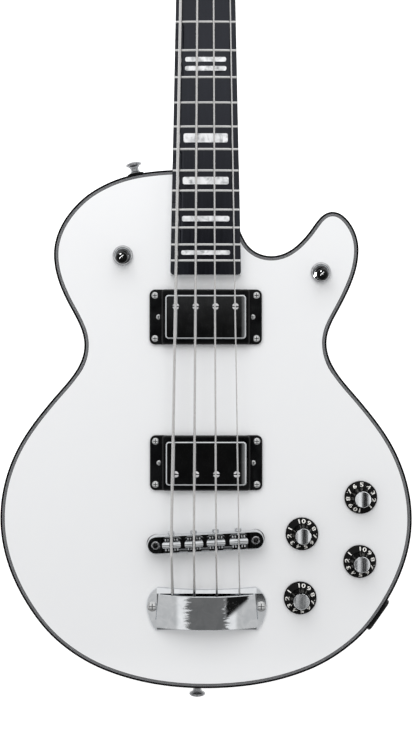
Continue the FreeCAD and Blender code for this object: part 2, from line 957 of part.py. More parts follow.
def marker_faces(gap):
    faces = []
    for number, share in marker_share.items():
        faces.append(marker_face(number, share * (fret_y(number - 1) - fret_y(number)), 0.0, gap))
    for side in (-1, 1):
        faces.append(marker_face(double_marker_fret, double_marker_bar, side * double_marker_step / 2, gap))
    return faces


def marker_face(number, length, shift, gap):
    middle = (fret_y(number - 1) + fret_y(number)) / 2 + shift
    wide = 2 * (board_half(middle) - marker_margin)
    face = rounded_face(wide + 2 * gap, length + 2 * gap, marker_corner)
    face.translate(V(0, middle, 0))
    return face


def marker_floor():
    return board_top - crown_drop(board_end_width / 2) - marker_depth


def marker_rooms(gap):
    return [raise_face(face, marker_floor(), board_top + overshoot) for face in marker_faces(gap)]


def side_dots(gap=0.0):
    level = neck_top + (board_thickness - crown_drop(board_end_width / 2)) / 2
    dots = []
    for number in list(marker_share) + [double_marker_fret]:
        middle = (fret_y(number - 1) + fret_y(number)) / 2
        shifts = (-double_marker_step / 2, double_marker_step / 2) if number == double_marker_fret else (0.0,)
        for shift in shifts:
            edge = -board_half(middle + shift)
            start = V(edge - overshoot, middle + shift, level)
            dots.append(rod(side_dot_radius + gap, start, start + V(side_dot_depth + overshoot, 0, 0)))
    return dots


def fret_markers():
    crown = crown_cylinder(board_radius)
    bars = [room.common(crown) for room in marker_rooms(0.0)]
    plan = raise_face(board_plan(board_end, scale_length), neck_top, board_top)
    return group(bars + [dot.common(plan) for dot in side_dots()])


# Strings


def string_points(index):
    radius = string_radius[index]
    saddle = saddle_middle(index)
    back = saddle_depth / 2 + saddle_travel + string_rest
    level = string_level(index) + radius
    anchor_level = body_thickness + tail_plate + anchor_lift
    anchor = V(string_x_tail[index], anchor_front - anchor_depth - move_gap, anchor_level)
    bend = V(string_x_bridge[index], saddle.y - back, level)
    ahead = V(string_x_bridge[index], saddle.y + back, level)
    x = string_x_nut[index]
    witness = V(x, scale_length + nut_witness, board_top + string_lift_nut - crown_drop(x) + radius)
    return [anchor, bend, ahead, witness]


def string_level(index):
    return fret_top + string_lift_bridge - crown_drop(string_x_bridge[index])


def post_centre(index):
    side, u = tuner_place[index]
    return V(side * tuner_side, u, 0)


def coil_pitch(index):
    return 2 * string_radius[index] + string_coil_gap


def coil_start(index):
    return bushing_top + move_gap + string_radius[index] + string_turns[index] * coil_pitch(index)


def coil_radius(index):
    return post_waist + move_gap + string_radius[index]


def coil_entry(index):
    # Where the line from the nut touches the coil on the inner side of its post, in the headstock's plane
    start = head_frame.inverse().multVec(string_points(index)[-1])
    centre = post_centre(index)
    side = tuner_place[index][0]
    away = V(centre.x - start.x, centre.y - start.y, 0)
    length = math.sqrt(away.Length ** 2 - coil_radius(index) ** 2)
    turn = math.degrees(math.asin(coil_radius(index) / away.Length))
    way = FreeCAD.Rotation(V(0, 0, 1), side * turn).multVec(unit(away))
    return V(start.x, start.y, 0) + way * length


def coil_knots(index):
    side = tuner_place[index][0]
    entry = coil_entry(index) - post_centre(index)
    first = math.atan2(entry.y, entry.x)
    slope = coil_pitch(index) / (2 * math.pi * coil_radius(index))
    knots = []
    for quarter in range(int(round(string_turns[index] * 4)) + 1):
        turn = first - side * quarter * math.pi / 2
        out = V(math.cos(turn), math.sin(turn), 0)
        spot = post_centre(index) + out * coil_radius(index)
        spot.z = coil_start(index) - coil_pitch(index) * quarter / 4
        way = unit(V(side * out.y, -side * out.x, -slope))
        knots.append((head_frame.multVec(spot), head_frame.Rotation.multVec(way)))
    return knots


def rounded_path(points, radius):
    # Straight runs joined by tangent arcs
    edges = []
    start = points[0]
    for before, corner, after in zip(points, points[1:], points[2:]):
        incoming, outgoing = unit(corner - before), unit(after - corner)
        bend = incoming.getAngle(outgoing)
        trim = radius * math.tan(bend / 2)
        first, last = corner - incoming * trim, corner + outgoing * trim
        edges.append(Part.makeLine(start, first))
        edges.append(arc_edge(first, arc_middle(first, incoming, last), last))
        start = last
    return edges + [Part.makeLine(start, points[-1])]


def coil_edges(index):
    knots = coil_knots(index)
    knots[0] = (knots[0][0], unit(knots[0][0] - string_points(index)[-1]))
    edges = []
    for first, second in zip(knots, knots[1:]):
        edges += biarc(first[0], first[1], second[0], second[1])
    return edges


def string_path(index):
    points = string_points(index) + [coil_knots(index)[0][0]]
    return Part.Wire(rounded_path(points, string_bend) + coil_edges(index))


def least_gap(index):
    points = [point for edge in coil_edges(index) for point in edge.discretize(coil_samples)]
    apart = math.pi * coil_radius(index)
    least = math.inf
    for first, point in enumerate(points):
        travel = 0.0
        for second in range(first + 1, len(points)):
            travel += (points[second] - points[second - 1]).Length
            if travel > apart:
                least = min(least, (points[second] - point).Length - 2 * string_radius[index])
    return least


def string_solid(index):
    path = string_path(index)
    points = string_points(index)
    ring = Part.makeCircle(string_radius[index], points[0], unit(points[1] - points[0]))
    return path.makePipeShell([Part.Wire([ring])], True, False)


def ball_end(index, gap=0.0):
    points = string_points(index)
    away = unit(points[0] - points[1])
    middle = points[0] + away * (ball_radius + glue_gap)
    reach = V(ball_length / 2 + gap, 0, 0)
    return rod(ball_radius + gap, middle - reach, middle + reach)


def strings():
    count = len(string_radius)
    for index in range(count):
        print("string", index + 1, "least gap between turns", round(least_gap(index), 3))
    return group([shape(index) for shape in (string_solid, ball_end) for index in range(count)])


def string_slots(gap, start, end):
    # Room for a string between two of its path points, open upwards
    rooms = []
    for index, radius in enumerate(string_radius):
        points = string_points(index) + [coil_knots(index)[0][0]]
        first, last = points[start], points[end]
        way = unit(last - first)
        wide = radius + gap
        origin = first - way * slot_run
        left, right = origin + V(-wide, 0, 0), origin + V(wide, 0, 0)
        rise = V(0, 0, slot_run)
        profile = Part.Wire([Part.makeLine(left + rise, left),
                             Part.Arc(left, origin + V(0, 0, -wide), right).toShape(),
                             Part.makeLine(right, right + rise), Part.makeLine(right + rise, left + rise)])
        rooms.append(Part.Face(profile).extrude(way * (2 * slot_run)))
    return rooms


def nut():
    half = nut_width / 2
    block = slab(-half, half, scale_length, head_start, neck_top, board_top + nut_height)
    block = block.common(crown_cylinder_at_nut())
    return block.cut(string_slots(screw_gap, 3, 4)).cut(string_slots(screw_gap, 3, 2))


def crown_cylinder_at_nut():
    centre = V(0, scale_length - nut_thickness, board_top - board_radius)
    return Part.makeCylinder(board_radius + nut_height, nut_thickness * 3, centre, V(0, 1, 0))


# Tuners


def at_tuner(shape, index):
    side, u = tuner_place[index]
    if side < 0:
        shape = shape.mirror(V(0, 0, 0), V(1, 0, 0))
    return placed(shape, head_frame.multiply(FreeCAD.Placement(V(side * tuner_side, u, 0), FreeCAD.Rotation())))


def tuner_bore(side, u):
    bore = upright(bushing_radius + screw_gap, side * tuner_side, u, -head_thickness, veneer_thickness)
    return placed(bore, head_frame)


def tuner_lug():
    return gear_radius + mesh_gap + housing_wall + screw_head_radius + lug_wall


def tuner_housing():
    low = -worm_reach - worm_mean_radius - worm_throw - mesh_gap
    high = gear_radius + mesh_gap
    bottom, top = -head_thickness - housing_depth, -head_thickness
    middle = ((housing_outer - housing_inner) / 2, (high + low) / 2)
    outer = rounded_block(housing_outer + housing_inner, high - low + 2 * housing_wall, housing_corner,
                          bottom, top, middle)
    inner = rounded_block(housing_outer + housing_inner - 2 * housing_wall, high - low,
                          housing_corner - housing_wall, bottom + housing_wall, top, middle)
    lug_half = screw_head_radius + lug_side
    lug = rounded_block(2 * lug_half, 2 * (tuner_lug() + lug_half - high), screw_head_radius,
                        top - housing_wall, top, (0, high))
    shaft = rod(worm_shaft_radius + run_gap, V(-housing_inner * 2, -worm_reach, gear_level),
                V(housing_outer * 2, -worm_reach, gear_level))
    case = outer.makeFillet(housing_edge, edges_at(outer, bottom))
    hole = screw_room(*small_sizes)
    hole = placed(hole, facing((0, tuner_lug(), top - housing_wall), V(0, 0, -1)))
    return joined(case, [lug]).cut([inner, shaft, hole])


def tuner_bushing():
    tube = upright(bushing_radius, 0, 0, veneer_thickness - bushing_length, veneer_thickness)
    flange = upright(bushing_flange_radius, 0, 0, veneer_thickness, bushing_top)
    flange = flange.makeFillet(bushing_edge, edges_at(flange, bushing_top))
    bore = upright(post_radius + run_gap, 0, 0, -head_thickness, bushing_top)
    return joined(tube, [flange]).cut(bore)


def tuner_housings():
    indices = range(len(tuner_place))
    shapes = (tuner_housing(), tuner_bushing())
    return group([at_tuner(shape, index) for shape in shapes for index in indices])


def gear_face():
    points = []
    step = 360.0 / gear_teeth
    for tooth in range(gear_teeth):
        middle = -90 + tooth * step
        corners = [(-tooth_root_share, gear_root), (-tooth_tip_share, gear_radius),
                   (tooth_tip_share, gear_radius), (tooth_root_share, gear_root)]
        for shift, radius in corners:
            way = heading(middle + shift * step) * radius
            points.append((way.x, way.y, 0))
    return polygon_face(points)


def tuner_post(index):
    coil_top = coil_start(index) + string_radius[index] + move_gap
    head_top = coil_top + post_head_height
    gear = raise_face(gear_face(), gear_level - gear_thickness / 2, gear_level + gear_thickness / 2)
    foot = bushing_top + move_gap
    stem = turned([(0, gear_level), (post_radius, gear_level), (post_radius, foot), (post_waist, foot),
                   (post_waist, coil_top), (post_head_radius, coil_top + post_bevel),
                   (post_head_radius, head_top - post_bevel), (post_head_radius - post_bevel, head_top),
                   (0, head_top)])
    half = post_slot / 2
    slot = slab(-half, half, -post_head_radius, post_head_radius, head_top - post_head_height, head_top)
    hole = upright(half, 0, 0, bushing_top + post_hole_floor, head_top)
    return at_tuner(joined(stem, [gear]).cut([slot, hole]), index)


def worm():
    rings = []
    for step in range(worm_turns * worm_steps + 1):
        turn = step * 2 * math.pi / worm_steps
        level = worm_pitch * (step / worm_steps - worm_turns / 2)
        centre = V(worm_throw * math.cos(turn), worm_throw * math.sin(turn), level)
        rings.append(Part.Wire([Part.makeCircle(worm_mean_radius, centre)]))
    return Part.makeLoft(rings, True, False)


def tuner_key():
    # Built along +Z, then laid along +X beside the gear
    half = worm_pitch * worm_turns / 2
    neck_end = housing_outer + key_stand_off
    inner = upright(worm_shaft_radius, 0, 0, -housing_inner + housing_wall / 2, -half)
    outer = upright(worm_shaft_radius, 0, 0, half, neck_end + key_root)
    collar_radius = worm_shaft_radius + key_collar_width
    collar = upright(collar_radius, 0, 0, housing_outer + move_gap, housing_outer + key_collar)
    face = key_thickness / 2
    button = rounded_block(key_length, key_width, key_corner, -face, face)
    button = button.makeFillet(key_edge, edges_at(button, face) + edges_at(button, -face))
    button.rotate(V(0, 0, 0), V(0, 1, 0), 90)
    button.translate(V(0, 0, neck_end + key_length / 2))
    whole = joined(worm(), [inner, outer, collar, button])
    turn = FreeCAD.Rotation(V(0, 1, 0), V(0, 0, 1), V(1, 0, 0), "ZXY")
    return placed(whole, FreeCAD.Placement(V(0, -worm_reach, gear_level), turn))


# Pickups


def pickup_ring(index):
    x, y = pickup_centre[index]
    level = body_thickness + ring_flange
    flange = rounded_block(ring_length, ring_width, ring_corner, body_thickness, level, (x, y))
    flange = flange.makeFillet(ring_flange_edge, edges_at(flange, level))
    block = rounded_block(ring_block_length, ring_width, ring_block_corner, body_thickness, ring_top, (x, y))
    block = block.makeFillet(ring_edge, edges_at(block, ring_top))
    window = rounded_block(cover_length + 2 * move_gap, cover_width + 2 * move_gap, cover_corner + move_gap,
                           body_thickness, ring_top, (x, y))
    holes = screw_rooms(ring_screw_places()) + screw_rooms(height_screw_places(), height_sizes)
    return joined(flange, [block]).cut([window] + holes)


def pickup_rings():
    return group([pickup_ring(0), pickup_ring(1)])


def pole_spots(index):
    x, y = pickup_centre[index]
    pitch = pole_pitch[index]
    last = (len(string_radius) - 1) / 2
    return [(x + (pole - last) * pitch, y + pickup_pole_y[index]) for pole in range(len(string_radius))]


def pickup_cover(index):
    place = pickup_centre[index]
    bottom = pickup_top - cover_height
    shell = rounded_block(cover_length, cover_width, cover_corner, bottom, pickup_top, place)
    shell = shell.makeFillet(cover_edge, edges_at(shell, pickup_top))
    inside = rounded_block(cover_length - 2 * cover_wall, cover_width - 2 * cover_wall, cover_corner - cover_wall,
                           bottom, pickup_top - cover_wall, place)
    holes = [upright(pole_radius + screw_gap, x, y, bottom, pickup_top) for x, y in pole_spots(index)]
    return shell.cut([inside] + holes)


def pickup_core(index):
    x, y = pickup_centre[index]
    bottom = pickup_top - cover_height
    plate = rounded_block(cover_length, cover_width, cover_corner, bottom - pickup_plate, bottom, (x, y))
    under = bottom - pickup_plate
    reach = 2 * height_screw_x + pickup_foot
    feet = rounded_block(reach, pickup_foot, core_corner, under, bottom, (x, y))
    inset = 2 * (cover_wall + coil_room)
    coils = rounded_block(cover_length - inset, cover_width - inset, core_corner, bottom,
                          pickup_top - cover_wall - glue_gap, (x, y))
    holes = [upright(pole_radius + screw_gap, a, b, under, pickup_top) for a, b in pole_spots(index)]
    for side in (-1, 1):
        holes.append(upright(screw_radius + move_gap, x + side * height_screw_x, y, under, bottom))
    return joined(plate, [feet, coils]).cut(holes)


def pickup_poles(index):
    bottom = pickup_top - cover_height - pickup_plate
    top = pickup_top + pole_rise
    solids = []
    for x, y in pole_spots(index):
        pole = turned([(0, bottom), (pole_radius, bottom), (pole_radius, top - pole_crown),
                       dome_point(pole_radius, top - pole_crown, top), (0, top)])
        pole.translate(V(x, y, 0))
        solids.append(pole.cut(slab(x - pole_radius, x + pole_radius, y - pole_slot / 2, y + pole_slot / 2,
                                    top - pole_slot, top)))
    return group(solids)


# Bridge


def on_bridge(shape):
    turn = FreeCAD.Rotation(V(0, 0, 1), bridge_angle)
    return placed(shape, FreeCAD.Placement(V(bridge_centre[0], bridge_centre[1], 0), turn))


def saddle_shift(index):
    # Along the bridge, from its middle to the saddle under string number index
    return (string_x_bridge[index] - bridge_centre[0]) / math.cos(math.radians(bridge_angle))


def saddle_middle(index):
    way = heading(bridge_angle) * saddle_shift(index)
    return V(bridge_centre[0] + way.x, bridge_centre[1] + way.y, 0)


def saddle_screw_level():
    return bridge_top - saddle_screw_drop


def bridge_frame():
    bar = rounded_block(bridge_length, bridge_width, bridge_corner, bridge_bottom, bridge_top)
    bar = bar.makeFillet(bridge_edge, edges_at(bar, bridge_top))
    rooms = [rounded_block(bridge_channel, bridge_width - 2 * bridge_wall, bridge_channel_corner,
                           bridge_bottom + bridge_floor, bridge_top)]
    hole = post_top_radius + post_hole_gap
    for index in range(len(string_radius)):
        x = saddle_shift(index)
        level = saddle_screw_level()
        rooms.append(rod(saddle_screw_radius + run_gap, V(x, -bridge_width, level), V(x, bridge_width, level)))
    for side in (-1, 1):
        rooms.append(upright(hole, side * post_spacing / 2, 0, bridge_bottom, bridge_top))
    return on_bridge(bar.cut(rooms))


def bridge_posts():
    posts = []
    for x, y in post_spots():
        end = body_thickness - post_thread_length
        wheel = bridge_bottom - post_wheel
        crown = bridge_top + post_crown
        stud = turned([(0, end), (post_thread_radius, end), (post_thread_radius, wheel),
                       (post_wheel_radius, wheel), (post_wheel_radius, bridge_bottom), (post_top_radius, bridge_bottom),
                       (post_top_radius, bridge_top), (post_top_radius - post_crown, crown), (0, crown)])
        stud = stud.cut(hex_prism(post_socket / 2, crown - post_socket_depth, crown))
        stud.translate(V(x, y, 0))
        posts.append(stud)
    return group(posts)


def saddle_base(index):
    # Two round-backed rails with a valley under the string
    bottom = bridge_bottom + bridge_floor + move_gap
    half = saddle_width / 2
    x = saddle_shift(index)
    top = bridge_top + saddle_rise
    block = slab(x - half, x + half, -saddle_depth / 2, saddle_depth / 2, bottom, top)
    block = block.cut(slab(x - saddle_valley / 2, x + saddle_valley / 2, -saddle_depth, saddle_depth,
                           top - saddle_valley_depth, top))
    return block.makeFillet(saddle_round, [edge for edge in edges_at(block, top) if edge.BoundBox.XLength < 1e-4])


def saddle_crest(index):
    # A bar with a round back that stands across the string
    half = crest_depth / 2
    top = string_level(index) + string_radius[index] + crest_lip
    shoulder = top - crest_round
    low = bridge_top - crest_drop
    front, rear = V(0, half, shoulder), V(0, -half, shoulder)
    front_low, rear_low = V(0, half, low), V(0, -half, low)
    profile = Part.Wire([Part.makeLine(rear_low, front_low), Part.makeLine(front_low, front),
                         arc_edge(front, V(0, 0, top), rear), Part.makeLine(rear, rear_low)])
    bar = Part.Face(profile).extrude(V(crest_width, 0, 0))
    bar.translate(V(-crest_width / 2, 0, 0))
    plan = rounded_block(crest_width, crest_depth, crest_corner, low, top)
    bar = bar.common(plan)
    bar.translate(V(saddle_shift(index), 0, 0))
    return bar


def saddle(index):
    x = saddle_shift(index)
    level = saddle_screw_level()
    groove = string_radius[index] + move_gap
    middle = string_level(index) + string_radius[index]
    ends = V(x, -bridge_width, 0), V(x, bridge_width, 0)
    bore = rod(saddle_screw_radius + run_gap, *[end + V(0, 0, level) for end in ends])
    notch = rod(groove, *[end + V(0, 0, middle) for end in ends])
    mouth = slab(x - groove, x + groove, -bridge_width, bridge_width, middle, middle + crest_round)
    return on_bridge(joined(saddle_base(index), [saddle_crest(index)]).cut([bore, notch, mouth]))


def saddle_screw(index):
    x = saddle_shift(index)
    level = saddle_screw_level()
    front = bridge_width / 2 + move_gap
    shank = rod(saddle_screw_radius, V(x, -bridge_width / 2, level), V(x, front, level))
    head = turned([(0, 0), (saddle_head_radius, 0), (saddle_head_radius, saddle_head - saddle_head_bevel),
                   (saddle_head_radius - saddle_head_bevel, saddle_head), (0, saddle_head)])
    head = placed(head, facing((x, front, level), V(0, 1, 0)))
    end = front + saddle_head
    slot = slab(x - saddle_head_radius, x + saddle_head_radius, end - saddle_slot_depth, end,
                level - saddle_slot / 2, level + saddle_slot / 2)
    return on_bridge(joined(shank, [head]).cut(slot))


# Tailpiece


def tail_edges():
    front = V(tail_half_front, tail_front, 0)
    ear = V(tail_half_ear, tail_ear_y, 0)
    rear = V(tail_half_rear, tail_rear, 0)
    shoulder = (front + ear) * 0.5 + V(*tail_shoulder, 0)
    flank = (ear + rear) * 0.5 + V(*tail_flank, 0)
    right = [Part.Arc(front, shoulder, ear).toShape(), Part.Arc(ear, flank, rear).toShape()]
    left = [edge.mirror(V(0, 0, 0), V(1, 0, 0)) for edge in right]
    lip = Part.Arc(V(-front.x, front.y, 0), V(0, tail_front - tail_front_dip, 0), front).toShape()
    return right + left + [lip, Part.makeLine(rear, V(-rear.x, rear.y, 0))]


def arch_half(y):
    share = (y - arch_front) / (arch_rear - arch_front)
    return arch_half_front + (arch_half_rear - arch_half_front) * share


def tail_grooves():
    # The crease along each foot of the cover, where the ear starts
    level = body_thickness + tail_plate
    near, far = arch_half(arch_front), arch_half(tail_groove_end)
    plan = polygon_face([(near, arch_front, 0), (near + tail_groove, arch_front, 0),
                         (far + tail_groove, tail_groove_end, 0), (far, tail_groove_end, 0)])
    right = raise_face(plan, level - tail_groove_depth, level + overshoot)
    grooves = [right, right.mirror(V(0, 0, 0), V(1, 0, 0))]
    for groove in grooves:
        groove.translate(V(tail_x, 0, 0))
    return grooves


def tailpiece_base():
    level = body_thickness + tail_plate
    face = Part.Face(Part.Wire(Part.__sortEdges__(tail_edges())))
    plate = raise_face(face, body_thickness, level)
    plate = plate.makeChamfer(tail_edge, edges_at(plate, level))
    plate.translate(V(tail_x, 0, 0))
    half = max(abs(x) for x in string_x_tail) + ball_length
    rear = anchor_front - anchor_depth
    bar = slab(-half, half, rear, anchor_front, level - tail_plate / 2, level + anchor_height)
    bar = bar.cut(string_slots(anchor_gap, 0, 1))
    seats = [ball_end(index, screw_gap) for index in range(len(string_radius))]
    rooms = seats + tail_grooves() + screw_rooms(tail_screw_places(), big_sizes)
    return joined(plate, [bar]).cut(rooms)


def arch_radius():
    return (arch_half_rear ** 2 + arch_rise ** 2) / (2 * arch_rise)


def arch_solid(inset, top_inset):
    level = body_thickness + tail_plate
    front = arch_front + (overshoot if inset else 0.0)
    rear = arch_rear + inset
    near, far = arch_half_front - inset, arch_half_rear - inset
    plan = polygon_face([(-near, front, 0), (near, front, 0), (far, rear, 0), (-far, rear, 0)])
    block = raise_face(plan, level, level + arch_foot + arch_rise)
    centre = V(0, rear - overshoot, level + arch_foot + arch_rise - arch_radius())
    dome = Part.makeCylinder(arch_radius() - top_inset, front - rear + 2 * overshoot, centre, V(0, 1, 0))
    return block.common(dome)


def tailpiece_cover():
    shell = arch_solid(0.0, 0.0).cut(arch_solid(arch_wall, arch_wall))
    rims = [edge for edge in shell.Edges if isinstance(edge.Curve, Part.Circle)]
    rims = [edge for edge in rims if abs(edge.Curve.Radius - arch_radius()) < 1e-6]
    shell = shell.makeFillet(arch_edge, rims)
    shell.translate(V(tail_x, 0, 0))
    return shell


# Controls


def knob_base():
    return body_thickness + knob_lift


def knob(index):
    base = knob_base()
    top = base + knob_height
    shape = turned([(knob_hollow_radius, base), (knob_skirt_radius, base),
                    (knob_skirt_radius, base + knob_skirt_edge), (knob_shoulder_radius, base + knob_shoulder),
                    (knob_waist_radius, base + knob_waist, 1),
                    (knob_top_radius, top), (shaft_radius, top), (shaft_radius, base + knob_hollow),
                    (knob_hollow_radius, base + knob_hollow)])
    shape.translate(V(knob_place[index][0], knob_place[index][1], 0))
    return shape


def knob_spindle(index):
    top = knob_base() + knob_height
    bottom = cavity_roof - pot_height + shaft_foot
    rim = top + cap_height
    inner = cap_radius - cap_rim
    floor = rim - cap_dish
    shape = turned([(0, bottom), (shaft_radius, bottom), (shaft_radius, top), (cap_radius, top),
                    (cap_radius, rim - cap_rim), (inner, rim), dish_point(inner, floor, rim), (0, floor)])
    shape.translate(V(knob_place[index][0], knob_place[index][1], 0))
    return shape


def pots():
    solids = []
    for x, y in knob_place:
        can = upright(pot_radius, x, y, cavity_roof - pot_height, cavity_roof)
        top = body_thickness + pot_nut + pot_thread_rise
        thread = upright(pot_bushing_radius, x, y, cavity_roof, top)
        bore = upright(shaft_radius + run_gap, x, y, cavity_roof - pot_height + pot_floor, top)
        solids.append(joined(can, [thread]).cut(bore))
        nut_ring = hex_prism(pot_nut_radius, body_thickness, body_thickness + pot_nut)
        nut_ring = nut_ring.cut(upright(pot_bushing_radius + glue_gap, 0, 0, body_thickness, top))
        nut_ring.translate(V(x, y, 0))
        solids.append(nut_ring)
    return group(solids)


# Toggle switches


def pivot_pin(gap=0.0):
    reach = V(lever_pin_length / 2 + gap, 0, 0)
    return rod(lever_pin_radius + gap, reach * -1, reach)


def switch_frame(x, y):
    half_x, half_y = switch_frame_width / 2, switch_frame_length / 2
    plate = slab(-half_x, half_x, -half_y, half_y, cavity_roof - switch_plate, cavity_roof)
    bushing = upright(switch_bushing_radius, 0, 0, cavity_roof, body_thickness + switch_rise)
    foot = cavity_roof - switch_frame_depth
    walls = [slab(edge, edge + switch_plate, -half_y, half_y, foot, cavity_roof)
             for edge in (-half_x, half_x - switch_plate)]
    bore = upright(switch_bore, 0, 0, cavity_roof - switch_plate, body_thickness + switch_rise)
    pin_hole = pivot_pin(run_gap)
    pin_hole.translate(V(0, 0, switch_pivot))
    frame = joined(plate, walls + [bushing]).cut([bore, pin_hole])
    frame.translate(V(x, y, 0))
    return frame


def switch_ring(x, y):
    inner = switch_bushing_radius + glue_gap
    top = body_thickness + switch_nut
    round_off = switch_nut_edge * (1 - math.sqrt(0.5))
    ring = turned([(inner, body_thickness), (switch_nut_radius, body_thickness),
                   (switch_nut_radius, top - switch_nut_edge),
                   (switch_nut_radius - round_off, top - round_off, 1),
                   (switch_nut_radius - switch_nut_edge, top),
                   (inner + switch_nut_bevel, top), (inner, top - switch_nut_bevel)])
    ring.translate(V(x, y, 0))
    return ring


def toggle_switches():
    return group([shape(x, y) for shape in (switch_frame, switch_ring) for x, y in switch_place])


def at_pivot(shape, index):
    x, y = switch_place[index]
    tilt = FreeCAD.Rotation(V(1, 0, 0), switch_tilt)
    return placed(shape, FreeCAD.Placement(V(x, y, switch_pivot), tilt))


def tip_start():
    return switch_pivot_drop + switch_rise + tip_lift


def toggle_lever(index):
    lever = upright(lever_radius, 0, 0, -lever_tail, tip_start() + tip_socket)
    return at_pivot(joined(lever, [Part.makeSphere(lever_ball_radius), pivot_pin()]), index)


def toggle_tip(index):
    base = tip_start()
    top = base + tip_length
    wide = base + tip_widest
    shape = turned([(lever_radius, base), (tip_base_radius, base), (tip_radius, wide),
                    dome_point(tip_radius, wide, top), (0, top), (0, base + tip_socket),
                    (lever_radius, base + tip_socket)])
    return at_pivot(shape, index)


# Rim hardware


def jack_plate():
    plate = rounded_block(jack_plate_side, jack_plate_side, jack_plate_corner, 0, jack_plate_thickness)
    plate = plate.makeFillet(jack_plate_edge, edges_at(plate, jack_plate_thickness))
    floor = jack_plate_thickness - jack_cup
    cup = upright(jack_nut_radius + jack_cup_room, 0, 0, floor, jack_plate_thickness)
    plate = on_jack(plate.cut([upright(jack_sleeve_radius + screw_gap, 0, 0, 0, jack_plate_thickness), cup]))
    return plate.cut(screw_rooms(jack_screw_places()))


def output_jack():
    floor = jack_plate_thickness - jack_cup
    end = floor + jack_nut + jack_sleeve_rise
    sleeve = upright(jack_sleeve_radius, 0, 0, 0, end)
    can = upright(jack_body_radius, 0, 0, -jack_body_length, 0)
    ring = hex_prism(jack_nut_radius, floor, floor + jack_nut)
    ring = ring.cut(upright(jack_sleeve_radius + glue_gap, 0, 0, 0, end))
    bore = upright(jack_bore_radius, 0, 0, -jack_body_length + jack_floor, end)
    return group([on_jack(joined(sleeve, [can]).cut(bore)), on_jack(ring)])


def at_strap(shape, index):
    normal = strap_normal[index]
    out = unit(V(normal[0], normal[1], 0))
    origin = V(strap_place[index][0], strap_place[index][1], rim_height) - out * strap_seat
    return placed(shape, facing(origin, out))


def strap_washers():
    hole = big_screw_radius + screw_gap
    ring = turned([(hole, 0), (strap_washer_radius, 0), (strap_washer_radius, strap_washer),
                   (hole, strap_washer)])
    return group([at_strap(ring, 0), at_strap(ring, 1)])


def strap_buttons():
    low = strap_washer
    top = low + strap_height
    rim = top - strap_rim
    soft = strap_head_bevel / 2
    shape = turned([(0, low), (strap_base_radius, low), (strap_base_radius, low + strap_base),
                    (strap_waist_radius, (low + rim) / 2, 1), (strap_head_radius - strap_head_inset, rim - soft),
                    (strap_head_radius, (rim + top) / 2 - soft, 1),
                    (strap_head_radius - strap_head_bevel, top - soft),
                    (strap_head_radius - strap_head_inset, top), (0, top)])
    solids = [at_strap(shape, index) for index in (0, 1)]
    return group([solid.cut(screw_rooms(strap_screw_places(), big_sizes)) for solid in solids])


def nodes():
    parts = {"body": body(), "binding_black": binding(0), "binding_white": binding(1),
             "back_covers": back_covers(), "neck": neck(), "fretboard": fretboard(), "frets": frets(),
             "fret_markers": fret_markers(), "nut": nut(), "headstock_veneer": headstock_veneer(),
             "truss_rod": truss_rod(), "truss_rod_cover": truss_rod_cover(), "tuner_housings": tuner_housings(),
             "strings": strings(), "pickup_rings": pickup_rings(), "bridge_frame": bridge_frame(),
             "bridge_posts": bridge_posts(), "tailpiece_base": tailpiece_base(),
             "tailpiece_cover": tailpiece_cover(), "pots": pots(), "toggle_switches": toggle_switches(),
             "jack_plate": jack_plate(), "output_jack": output_jack(), "strap_buttons": strap_buttons(),
             "strap_washers": strap_washers(), "screws": screws()}
    key = tuner_key()
    for index in range(len(string_radius)):
        number = str(index + 1)
        parts["knob_" + number] = knob(index)
        parts["knob_spindle_" + number] = knob_spindle(index)
        parts["tuner_key_" + number] = at_tuner(key, index)
        parts["tuner_post_" + number] = tuner_post(index)
        parts["saddle_" + number] = saddle(index)
        parts["saddle_screw_" + number] = saddle_screw(index)
    for index in range(len(switch_place)):
        number = str(index + 1)
        parts["toggle_lever_" + number] = toggle_lever(index)
        parts["toggle_tip_" + number] = toggle_tip(index)
        parts["pickup_cover_" + number] = pickup_cover(index)
        parts["pickup_core_" + number] = pickup_core(index)
        parts["pickup_poles_" + number] = pickup_poles(index)
    return parts


os.makedirs("parts", exist_ok=True)
for name, shape in nodes().items():
    print(name, len(shape.Solids), "solids", "valid" if shape.isValid() else "NOT VALID", round(shape.Volume))
    shape.exportStep("parts/" + name + ".step")
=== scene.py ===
import math

import bmesh
import bpy
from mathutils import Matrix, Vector


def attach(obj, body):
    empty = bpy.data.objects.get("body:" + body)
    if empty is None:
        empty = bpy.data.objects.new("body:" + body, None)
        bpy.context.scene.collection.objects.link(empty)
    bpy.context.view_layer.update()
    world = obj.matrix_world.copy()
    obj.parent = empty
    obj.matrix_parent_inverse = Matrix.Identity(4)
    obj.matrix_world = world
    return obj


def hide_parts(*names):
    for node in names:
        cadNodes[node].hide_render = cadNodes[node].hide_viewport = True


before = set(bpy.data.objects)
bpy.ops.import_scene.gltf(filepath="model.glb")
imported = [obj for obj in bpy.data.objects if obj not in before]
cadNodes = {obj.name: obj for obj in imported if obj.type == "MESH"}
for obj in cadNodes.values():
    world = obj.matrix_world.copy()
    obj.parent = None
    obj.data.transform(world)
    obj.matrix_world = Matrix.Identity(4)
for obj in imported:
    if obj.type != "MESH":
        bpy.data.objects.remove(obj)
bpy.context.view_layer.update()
mm = 0.001
print("frame:", len(cadNodes), "nodes")


def linear(hexCode):
    # sRGB hex to the linear values that the sockets hold
    shares = [int(hexCode[i:i + 2], 16) / 255 for i in (1, 3, 5)]
    return [s / 12.92 if s <= 0.04045 else ((s + 0.055) / 1.055) ** 2.4 for s in shares] + [1.0]


